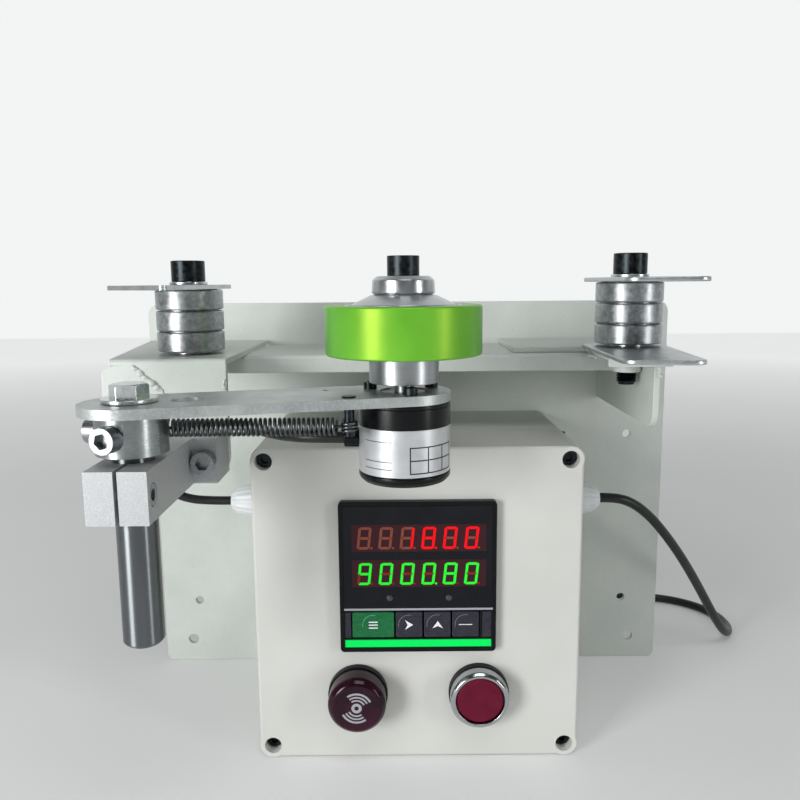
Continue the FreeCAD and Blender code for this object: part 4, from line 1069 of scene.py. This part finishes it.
bm = turned(tube_section(17.2, ENCODER_R, 0, -BAND_H), (WHEEL_X, WHEEL_Y, ENCODER_TOP), closed=True)
bevel(bm, ring_edges(bm), 0.25)
settle(bm, "encoder_band", "arm", [anodised_black], "black_plastic", "encoder_shell")
bm = turned(tube_section(17.0, 18.85, 0, -SLEEVE_H), (WHEEL_X, WHEEL_Y, SLEEVE_TOP), closed=True)
bevel(bm, ring_edges(bm), 0.15)
settle(bm, "encoder_sleeve", "arm", [label_sleeve], "cast_aluminium", "encoder_shell")
bm = turned(CAP, (WHEEL_X, WHEEL_Y, CAP_TOP))
bevel(bm, ring_edges(bm), 0.7, 3)
settle(bm, "encoder_cap", "arm", [anodised_black], "black_plastic", "encoder_end_cap")
bm = turned([(0, 0), (4.0, 0), (4.0, 7.0), (0, 7.0)], OUTLET_AT, axis=-X, steps=32)
bevel(bm, ring_edges(bm), 0.5)
settle(bm, "encoder_outlet", "arm", [anodised_black], "black_plastic", "encoder_shell")
softened("encoder_flange", "arm", anodised_black, "black_plastic", 0.2)
softened("encoder_shaft", "wheel", bearing_steel, "bearing_steel", 0.2)

# %% [markdown]
# The sleeve's label is left blank but for a ruled table. A line that runs round the sleeve is a small
# section spun about the encoder's axis, and an upright line is a tall section spun by a degree or two.

# %% Label table
LABEL_R, LABEL_RISE, LINE_MM = 18.83, 0.07, 0.5
LINE_DEG = math.degrees(LINE_MM / LABEL_R)
TABLE_LOW, TABLE_HIGH = 162.9, 173.3
TABLE_FROM, TABLE_TO = 6, 74
TABLE_COLUMNS = (TABLE_FROM, 29, 51.5, TABLE_TO - LINE_DEG)
NOTE_FROM, NOTE_TO, NOTE_LEVELS = -56, -16, (175.5, 167.5, 164.5)


def ruled(bm, from_deg, to_deg, low, high):
    """A thin raised mark on the sleeve; degrees are counted from the front towards +X."""
    start = math.radians(from_deg)
    across = Vector((math.sin(start), -math.cos(start), 0))
    section = tube_section(LABEL_R, LABEL_R + LABEL_RISE, low, high)
    points = [bm.verts.new((across * r + Z * z) * MM) for r, z in section]
    edges = [bm.edges.new((points[i], points[(i + 1) % 4])) for i in range(4)]
    bmesh.ops.spin(bm, geom=points + edges, cent=(0, 0, 0), axis=(0, 0, 1),
                   angle=math.radians(to_deg - from_deg), steps=max(1, int(abs(to_deg - from_deg) / 3)),
                   use_merge=False, use_duplicate=False)
    close_ends(bm)


bm = bmesh.new()
for level in (TABLE_LOW, (TABLE_LOW + TABLE_HIGH) / 2, TABLE_HIGH):
    ruled(bm, TABLE_FROM, TABLE_TO, level, level + LINE_MM)
for column in TABLE_COLUMNS:
    ruled(bm, column, column + LINE_DEG, TABLE_LOW, TABLE_HIGH + LINE_MM)
for level in NOTE_LEVELS:
    ruled(bm, NOTE_FROM, NOTE_TO, level, level + LINE_MM * 0.6)
bmesh.ops.recalc_face_normals(bm, faces=bm.faces)
bmesh.ops.translate(bm, verts=bm.verts, vec=Vector((WHEEL_X, WHEEL_Y, 0)) * MM)
settle(bm, "label_table", "arm", [print_black], "black_plastic")

# %% [markdown]
# ## Measuring wheel
#
# From below: a turned hub, the green tyre on its rim, a clamp cone in a shallow recess, a round nut and
# a socket screw. The tyre has a ground tread, flat across, with edges rounded to about a millimetre. It is
# spun in more steps than the rest, because its outline is the largest circle in view.

# %% Wheel
TYRE_R, TYRE_W, TYRE_Z, RIM_R = 31.83, 20.0, 208.8, 24.0
SHAFT_R, HUB_Z, HUB_R, RECESS_R = 4.0, 197.5, 14.25, 22.5
RECESS_Z, NUT_Z = 228.0, 232.7
TYRE_TOP = TYRE_Z + TYRE_W
HUB = [(SHAFT_R, HUB_Z), (HUB_R, HUB_Z), (HUB_R, TYRE_Z), (RIM_R, TYRE_Z), (RIM_R, TYRE_TOP),
       (RECESS_R, TYRE_TOP), (RECESS_R, RECESS_Z), (SHAFT_R, RECESS_Z)]
CONE = [(SHAFT_R, 0), (21.0, 0), (21.0, 1.0), (13.2, 4.7), (SHAFT_R, 4.7)]
NUT = [(SHAFT_R, 0), (11.7, 0), (12.8, 1.0), (12.5, 5.9), (10.7, 7.5), (SHAFT_R, 7.5)]

bm = turned(tube_section(RIM_R, TYRE_R, 0, TYRE_W), (WHEEL_X, WHEEL_Y, TYRE_Z), steps=160, closed=True)
bevel(bm, ring_edges(bm), 0.9, 3)
settle(bm, "green_tyre", "wheel", [tyre_green], "tyre_rubber", "wheel_tyre")
for name, node, section, low, material in (
        ("turned_hub", "wheel_hub", [(r, z - HUB_Z) for r, z in HUB], HUB_Z, turned_aluminium),
        ("turned_cone", "clamp_cone", CONE, RECESS_Z, bright_aluminium),
        ("turned_nut", "wheel_nut", NUT, NUT_Z, bright_aluminium)):
    bm = turned(section, (WHEEL_X, WHEEL_Y, low), closed=True)
    bevel(bm, ring_edges(bm), 0.3)
    settle(bm, name, "wheel", [material], "cast_aluminium", node)
softened("wheel_bolt", "wheel", black_oxide, "black_oxide", 0.6)

# %% [markdown]
# ## Counter box
#
# The lid and the base are ABS mouldings with a foam seal between them. Their outer edges have a moulded
# radius; the counterbores for the lid screws have a much smaller one.

# %% Box
softened("box_lid", "frame", box_abs, "box_plastic", 0.6, 3)
softened("box_base", "frame", box_abs, "box_plastic", 0.5, 2)
softened("box_gasket", "frame", foam_seal, "gasket_rubber", 0.1)
softened("box_screws", "frame", black_oxide, "black_oxide", 0.3)
softened("gland_bodies", "frame", white_nylon, "nylon", 0.4)
softened("panel_nuts", "frame", zinc_plate, "zinc_plate", 0.2)
softened("contact_block", "frame", black_abs, "black_plastic", 0.4)

# %% [markdown]
# The gland's dome nut has grip flutes. The lathe profile gives the dome, and then each point on its side
# is drawn in towards the axis by a cosine of its angle.

# %% Gland domes
BOX_X, GLAND_Y, GLAND_Z, DOME_START = 3.0, 10.0, 117.0, 86.0
DOME = [(2.8, 0), (9.1, 0), (9.1, 1.0), (9.1, 7.6), (7.3, 13.6), (4.6, 17.0), (2.8, 17.0)]
FLUTES, FLUTE_MM = 16, 0.5
COLLAR_H, FLUTED_FROM_R = 0.5, 5.5

bm = bmesh.new()
for side in (-1, 1):
    dome = turned(DOME, (BOX_X + side * DOME_START, GLAND_Y, GLAND_Z), axis=X * side, closed=True)
    bevel(dome, ring_edges(dome), 0.7, 3)
    for vert in dome.verts:
        along = abs(vert.co.x / MM - BOX_X) - DOME_START
        across = Vector((0, vert.co.y / MM - GLAND_Y, vert.co.z / MM - GLAND_Z))
        if along > COLLAR_H and across.length > FLUTED_FROM_R:
            dip = FLUTE_MM * (0.5 + 0.5 * math.cos(FLUTES * math.atan2(across.z, across.y)))
            vert.co -= across.normalized() * dip * MM
    pour(bm, dome)
settle(bm, "fluted_gland_domes", "frame", [white_nylon], "nylon", "gland_domes")
print("flutes", FLUTES)

# %% [markdown]
# ## Panel meter
#
# A square black bezel holds a glossy printed film, a screen and four rubber keys. Each key rides on a
# body of its own, so that it can be pressed.

# %% Meter case, film and keys
softened("meter_bezel", "frame", black_abs, "black_plastic", 0.35, 3)
softened("meter_housing", "frame", black_abs, "black_plastic", 0.3)
softened("meter_window", "frame", face_film, "window_tint", 0.12)
softened("meter_display", "frame", display_back, "display_red", 0.1)
softened("key_enter", "key_enter", key_green, "green_key", 0.25)
for key in ("key_shift", "key_up", "key_reset"):
    softened(key, key, key_rubber, "black_plastic", 0.25)

# %% [markdown]
# Everything printed on the face is laid out on a fine grid, as an artwork is before it is scaled to fit.
# Two functions turn a grid place into millimetres, and a third makes a thin patch there.

# %% The face's layout
METER_X, METER_Z, FACE_Y = 3.0, 96.5, -55.0
GRID_MM_X, GRID_MM_Z = 0.4822, 0.4977
GRID_MIDDLE = (413.7, 575.4)


def face_x(column):
    """The place of a grid column across the face, in mm."""
    return METER_X + (column - GRID_MIDDLE[0]) * GRID_MM_X


def face_z(row):
    """The height of a grid row on the face, in mm; rows count downwards."""
    return METER_Z - (row - GRID_MIDDLE[1]) * GRID_MM_Z


def panel(name, x0, x1, z0, z1, front, depth, material, slot):
    """A thin printed or moulded patch; front is its face, depth goes back into the bezel."""
    bm = bmesh.new()
    size = Vector((x1 - x0, depth, z1 - z0)) * MM
    middle = Vector(((x0 + x1) / 2, front + depth / 2, (z0 + z1) / 2)) * MM
    bmesh.ops.create_cube(bm, size=1.0, matrix=Matrix.Translation(middle) @ Matrix.Diagonal((*size, 1)))
    bevel(bm, [e for e in bm.edges if abs(e.verts[0].co.y - e.verts[1].co.y) > 0.5 * size.y], 0.2)
    return settle(bm, name, "frame", [material], slot)


print("grid step", GRID_MM_X, "by", GRID_MM_Z, "mm")

# %% [markdown]
# Two screens, a pale line and a green bar make up the plain part of the face. The screens stand a
# twentieth of a millimetre proud of the film, so that the two surfaces don't fight for the same place.

# %% Screens, line and bar
PRINT_PROUD = 0.05
PRINT_Y = FACE_Y - PRINT_PROUD
LINE_LEFT, LINE_RIGHT, BAR_RIGHT = 339.2, 489.1, 489.4

# The screens and the green bar glow a little, though neither is lit: painted light.
for name, top, bottom in (("upper_window", 521.6, 548.6), ("lower_window", 557.0, 584.4)):
    panel(name, face_x(347.9), face_x(482.0), face_z(bottom), face_z(top), PRINT_Y, 0.5, display_back,
          "window_tint")
panel("face_line", face_x(LINE_LEFT), face_x(LINE_RIGHT), face_z(608.5), face_z(606.5), PRINT_Y, 0.5,
      print_grey, "black_plastic")
panel("green_bar", face_x(LINE_LEFT), face_x(BAR_RIGHT), face_z(647.1), face_z(639.8), FACE_Y + 0.5, 0.6,
      bar_green, "green_key")

# %% [markdown]
# Seven-segment digits are slanted bars with pointed ends. One bar is a six-sided circle whose two halves
# are pulled apart. It is turned and moved to each of the seven places. The bars are named a to g, as on
# any display: a on top, then clockwise to f, with g in the middle.

# %% Bars and points
DIGIT_W, DIGIT_H, SEGMENT_W, SLANT = 6.3, 11.1, 1.25, 1.2
SEGMENT_GAP = 0.25
POINT_R, POINT_RIGHT, POINT_UP = 0.55, 0.95, 0.6
SEGMENTS = {"a": (0.5, 1.0, 0), "b": (1.0, 0.75, 1), "c": (1.0, 0.25, 1), "d": (0.5, 0.0, 0),
            "e": (0.0, 0.25, 1), "f": (0.0, 0.75, 1), "g": (0.5, 0.5, 0)}
FACING_USER = Matrix.Rotation(math.pi / 2, 4, "X")


def segment(bm, x, z, upright, left, base):
    """One bar of a digit, added to bm; x and z run from 0 to 1 over the digit."""
    length = (DIGIT_H / 2 if upright else DIGIT_W - SEGMENT_W) - SEGMENT_GAP
    bar = bmesh.ops.create_circle(bm, cap_ends=True, radius=SEGMENT_W / math.sqrt(3) * MM, segments=6,
                                  matrix=Matrix.Rotation(math.pi / 2, 4, "Z"))["verts"]
    for vert in bar:
        vert.co.x += math.copysign((length - SEGMENT_W) / 2 * MM, vert.co.x)
    place = Matrix.Translation(Vector((left + SEGMENT_W / 2 + x * (DIGIT_W - SEGMENT_W), 0,
                                       base + SEGMENT_W / 2 + z * (DIGIT_H - SEGMENT_W))) * MM)
    turn = Matrix.Rotation(math.pi / 2, 4, "Y") if upright else Matrix.Identity(4)
    bmesh.ops.transform(bm, matrix=place @ turn @ FACING_USER, verts=bar)
    for vert in bar:
        vert.co.x += (vert.co.z / MM - base) / DIGIT_H * SLANT * MM


def point(bm, left, base):
    """A decimal point at a digit's lower right."""
    place = Matrix.Translation(Vector((left + DIGIT_W + POINT_RIGHT, 0, base + POINT_UP)) * MM)
    bmesh.ops.create_circle(bm, cap_ends=True, radius=POINT_R * MM, segments=16, matrix=place @ FACING_USER)


print("digit", DIGIT_W, "by", DIGIT_H, "mm")

# %% [markdown]
# Flat marks get a slight thickness towards the user. The digits, the sound waves and the key marks all go
# through the same helper.

# %% Raise flat marks
def thickened(bm, depth_mm):
    """Give flat marks a thickness towards the user."""
    grown = bmesh.ops.extrude_face_region(bm, geom=bm.faces[:])["geom"]
    bmesh.ops.translate(bm, verts=[v for v in grown if isinstance(v, bmesh.types.BMVert)],
                        vec=(0, -depth_mm * MM, 0))


print("marks can be raised")

# %% [markdown]
# A row holds six digits and six points. Lit bars and unlit bars are two pieces, because they are two
# plastics. The upper row starts with two blank digits, whose bars show dull.

# %% Two rows of digits
DIGIT_LEFT = [352.7 + 21.4 * i for i in range(6)]
DIGIT_RISE = 0.04
SHAPES = {"0": "abcdef", "1": "bc", "8": "abcdefg", "9": "abcdfg", " ": ""}


def digit_row(name, text, lit_point, row, lit_plastic, unlit_plastic):
    """A row of digits; every unlit bar shows dull, by a weak painted glow."""
    groups = {"lit": bmesh.new(), "unlit": bmesh.new()}
    base = face_z(row) - DIGIT_H / 2
    for place, (sign, left) in enumerate(zip(text, DIGIT_LEFT)):
        for letter, (x, z, upright) in SEGMENTS.items():
            segment(groups["lit" if letter in SHAPES[sign] else "unlit"], x, z, upright, face_x(left), base)
        point(groups["lit" if place == lit_point else "unlit"], face_x(left), base)
    for state, plastic in (("lit", lit_plastic), ("unlit", unlit_plastic)):
        bm = groups[state]
        thickened(bm, DIGIT_RISE)
        bmesh.ops.translate(bm, verts=bm.verts, vec=(0, (FACE_Y - DIGIT_RISE) * MM, 0))
        bmesh.ops.recalc_face_normals(bm, faces=bm.faces)
        settle(bm, name + "_" + state, "frame", [plastic], "display_red")


digit_row("upper_digits", "  1800", 3, 535.1, lit_red, glowing_unlit_orange)
digit_row("lower_digits", "900080", 3, 571.1, lit_green, glowing_unlit_red)

# %% [markdown]
# ## Buzzer and push button
#
# Both fit the same round hole in the lid. The buzzer's lens is a turned cup with a soft rim. The button
# has a chromed ring with a thin black ring round its foot, and its cap rides on a body of its own.

# %% Buzzer and button
BUZZER_X, BUTTON_X, CONTROL_Z, LID_Y = -27.0, 33.0, 35.5, -51.0
LENS = [(0, 4.0), (14.15, 4.0), (14.15, 13.1), (11.8, 15.5), (0, 15.5)]
BLACK_FOOT_RING = [(14.2, 0.0), (14.95, 0.0), (14.95, 3.9), (14.2, 4.2)]

softened("buzzer_body", "frame", black_abs, "black_plastic", 0.4)
bm = turned(LENS, (BUZZER_X, LID_Y, CONTROL_Z), axis=-Y)
bevel(bm, ring_edges(bm), 1.0, 4)
settle(bm, "buzzer_red_lens", "frame", [buzzer_lens_red], "buzzer_red", "buzzer_lens")
softened("button_bezel", "frame", ring_chrome, "button_chrome", 0.35, 3)
bm = turned(BLACK_FOOT_RING, (BUTTON_X, LID_Y, CONTROL_Z), axis=-Y, closed=True)
bevel(bm, ring_edges(bm), 0.2, 2)
settle(bm, "button_black_ring", "frame", [black_abs], "black_plastic")
softened("button_cap", "push_button", button_red, "button_red", 0.4, 3)

# %% [markdown]
# The buzzer's lens carries printed sound waves: a ring in the middle and arcs on two sides. An arc is a
# short radial edge spun part of a turn and then given a little thickness.

# %% Sound waves
BUZZER_FACE_Y = LID_Y - 15.5
WAVES = ((3.6, 4.4), (5.2, 6.0), (6.8, 7.8))


def flat_ring(bm, inner, outer, middle, half, steps=24):
    """A sector of a flat ring in the XZ plane, facing the user; angles in degrees."""
    start = math.radians(middle - half)
    ends = [bm.verts.new((r * MM * math.cos(start), 0, r * MM * math.sin(start))) for r in (inner, outer)]
    edge = bm.edges.new(ends)
    bmesh.ops.spin(bm, geom=ends + [edge], cent=(0, 0, 0), axis=(0, -1, 0), angle=math.radians(2 * half),
                   steps=steps, use_merge=half >= 180, use_duplicate=False)


def raised(bm, depth_mm, centre):
    """Merge flat marks, thicken them and move them to their centre."""
    bmesh.ops.remove_doubles(bm, verts=bm.verts, dist=0.001 * MM)
    thickened(bm, depth_mm)
    bmesh.ops.recalc_face_normals(bm, faces=bm.faces)
    bmesh.ops.translate(bm, verts=bm.verts, vec=Vector(centre) * MM)


bm = bmesh.new()
flat_ring(bm, 1.1, 2.5, 0, 180, 32)
for side in (76, 256):
    for inner, outer in WAVES:
        flat_ring(bm, inner, outer, side, 50)
raised(bm, 0.05, (BUZZER_X, BUZZER_FACE_Y + 0.02, CONTROL_Z))
settle(bm, "sound_waves", "frame", [print_grey], "buzzer_red")

# %% [markdown]
# The keys are ribbed so that a finger finds them, and each has one thin raised arc, the lit upper left of
# an embossed ring, whose paler colour is a painted highlight. Ribs are thin bars over a key, evenly spaced
# about its middle.

# %% Key ribs and arcs
KEY_FACE_Y, KEY_Z, KEY_H = -54.4, 72.3, 13.0
RIB_PITCH, RIB_H, RIB_RISE, RIB_INSET = 1.1, 0.55, 0.36, 0.5
KEYS = {"key_enter": (-29.1, -8.7), "key_shift": (-7.9, 5.1), "key_up": (5.9, 18.9),
        "key_reset": (19.7, 32.7)}


def ribs(name, x0, x1, body, material, slot):
    """Horizontal bars over a key or a filler."""
    bm = bmesh.new()
    count = int((KEY_H - 0.8) / RIB_PITCH)
    bar = Matrix.Diagonal(((x1 - x0 - RIB_INSET) * MM, RIB_RISE * MM, RIB_H * MM, 1))
    for i in range(count + 1):
        z = KEY_Z + (i - count / 2) * RIB_PITCH
        place = Matrix.Translation(Vector(((x0 + x1) / 2, KEY_FACE_Y, z)) * MM)
        bmesh.ops.create_cube(bm, size=1.0, matrix=place @ bar)
    bevel(bm, sharp_edges(bm), 0.12, 1)
    settle(bm, name, body, [material], slot)


for key, (x0, x1) in KEYS.items():
    is_green = key == "key_enter"
    slot = "green_key" if is_green else "black_plastic"
    ribs(key + "_ribs", x0, x1, key, key_green if is_green else key_rubber, slot)
    bm = bmesh.new()
    flat_ring(bm, 5.0, 5.3, 135, 58, 20)
    raised(bm, 0.12, ((x0 + x1) / 2, KEY_FACE_Y - 0.15, KEY_Z))
    settle(bm, key + "_ring", key, [green_arc_highlight if is_green else grey_arc_highlight], slot)

# %% [markdown]
# Two narrow ribbed fillers close the row of keys at its ends.

# %% Fillers
FILLERS = (("left_filler", 339.2, 345.7), ("right_filler", 478.8, 489.2))
for name, left, right in FILLERS:
    panel(name, face_x(left), face_x(right), KEY_Z - KEY_H / 2, KEY_Z + KEY_H / 2, KEY_FACE_Y, 0.6,
          key_rubber, "black_plastic")
    ribs(name + "_ribs", face_x(left), face_x(right), "frame", key_rubber, "black_plastic")

# %% [markdown]
# The marks are plain arrows, a bar and a list sign, printed white. A mark is one flat face from a few
# corners, and each rides on its own key.

# %% Key marks
ARROW = [(1.95, 0), (-1.95, 2.45), (-0.7, 0), (-1.95, -2.45)]
ARROW_UP = [(-z * 1.05, x * 0.95) for x, z in ARROW]
DASH_HALF, DASH_RISE = 3.3, 0.2
LIST_HALF, LIST_RISE, LIST_STEP = 2.2, 0.28, 1.5


def bar_corners(half_width, half_height, middle=0.0):
    """The corners of a flat bar."""
    low, high = middle - half_height, middle + half_height
    return [(-half_width, low), (half_width, low), (half_width, high), (-half_width, high)]


def flat_mark(name, outlines, key_x, key):
    """A flat white sign from outlines in mm about the key's middle."""
    bm = bmesh.new()
    for outline in outlines:
        bm.faces.new([bm.verts.new((x * MM, 0, z * MM)) for x, z in outline])
    raised(bm, 0.05, (key_x, KEY_FACE_Y - 0.2, KEY_Z))
    settle(bm, name, key, [print_white], "black_plastic")


flat_mark("shift_arrow", [ARROW], -1.4, "key_shift")
flat_mark("up_arrow", [ARROW_UP], 12.6, "key_up")
flat_mark("reset_bar", [bar_corners(DASH_HALF, DASH_RISE)], 26.2, "key_reset")
LIST_BARS = [bar_corners(LIST_HALF, LIST_RISE, step * LIST_STEP) for step in (-1, 0, 1)]
flat_mark("list_sign", LIST_BARS, -18.9, "key_enter")

# %% [markdown]
# Between the digits and the keys sit two small indicator lights, unlit. Each is a low turned dome.

# %% Indicator lights
LED = [(0, 0), (1.5, 0), (1.45, 0.2), (0.9, 0.42), (0, 0.5)]
for name, column in (("left_led", 385.3), ("right_led", 444.7)):
    bm = turned(LED, (face_x(column), FACE_Y, face_z(595.8)), axis=-Y, steps=32)
    settle(bm, name, "frame", [led_lens], "black_plastic")

# %% [markdown]
# ## Welds
#
# The brackets are welded by hand and then painted over. A bead is a row of small overlapping lumps of
# uneven size, and the paint makes it one soft ridge. The lumps are seeded, so that each run is the same.

# %% A weld bead
BEAD_STEP = 0.75
BEAD_SIZES = (0.55, 1.2)
BEAD_STRAY = 0.35
rng = random.Random(7)


def weld(name, start, end, radius):
    """A painted bead between two points, in mm."""
    start, end = Vector(start), Vector(end)
    run = end - start
    count = max(2, int(run.length / (radius * BEAD_STEP)))
    bm = bmesh.new()
    for i in range(count + 1):
        size = radius * rng.uniform(*BEAD_SIZES)
        stray = Vector([rng.uniform(-BEAD_STRAY, BEAD_STRAY) * radius for axis in range(3)])
        place = Matrix.Translation((start + run * (i / count) + stray) * MM)
        bmesh.ops.create_icosphere(bm, subdivisions=2, radius=size * MM,
                                   matrix=place @ Matrix.Diagonal((1, 1, rng.uniform(0.75, 1), 1)))
    made = settle(bm, name, "frame", [powder_coat], "powder_coat")
    merge = made.modifiers.new("one skin", "REMESH")
    merge.mode = "VOXEL"
    merge.voxel_size = 0.35 * MM
    smooth = made.modifiers.new("paint", "SMOOTH")
    smooth.iterations = 4
    smooth.factor = 0.6
    made.modifiers.move(0, 2)


print("bead lumps", BEAD_SIZES[0], "to", BEAD_SIZES[1], "of the bead's radius")

# %% [markdown]
# Six beads show: two on the bracket's front, one where it meets the shelf, two on the gusset and one
# beside the right deck.

# %% Weld beads
weld("weld_bracket_seam", (-126.0, -60.2, 201.0), (-111.5, -60.2, 186.5), 1.6)
weld("weld_bracket_right", (-85.2, -60.0, 194.0), (-85.2, -60.2, 190.5), 1.0)
weld("weld_bracket_plate", (-84.0, -13.5, 200.0), (-84.0, 50.5, 201.0), 1.2)
weld("weld_gusset_front", (116.2, -52.2, 199.5), (116.2, -52.4, 194.0), 1.6)
weld("weld_gusset_deck", (117.8, -46.0, 200.6), (117.8, 40.0, 200.6), 1.2)
weld("weld_deck_left", (92.0, -16.5, 200.2), (92.0, -30.0, 200.4), 1.0)
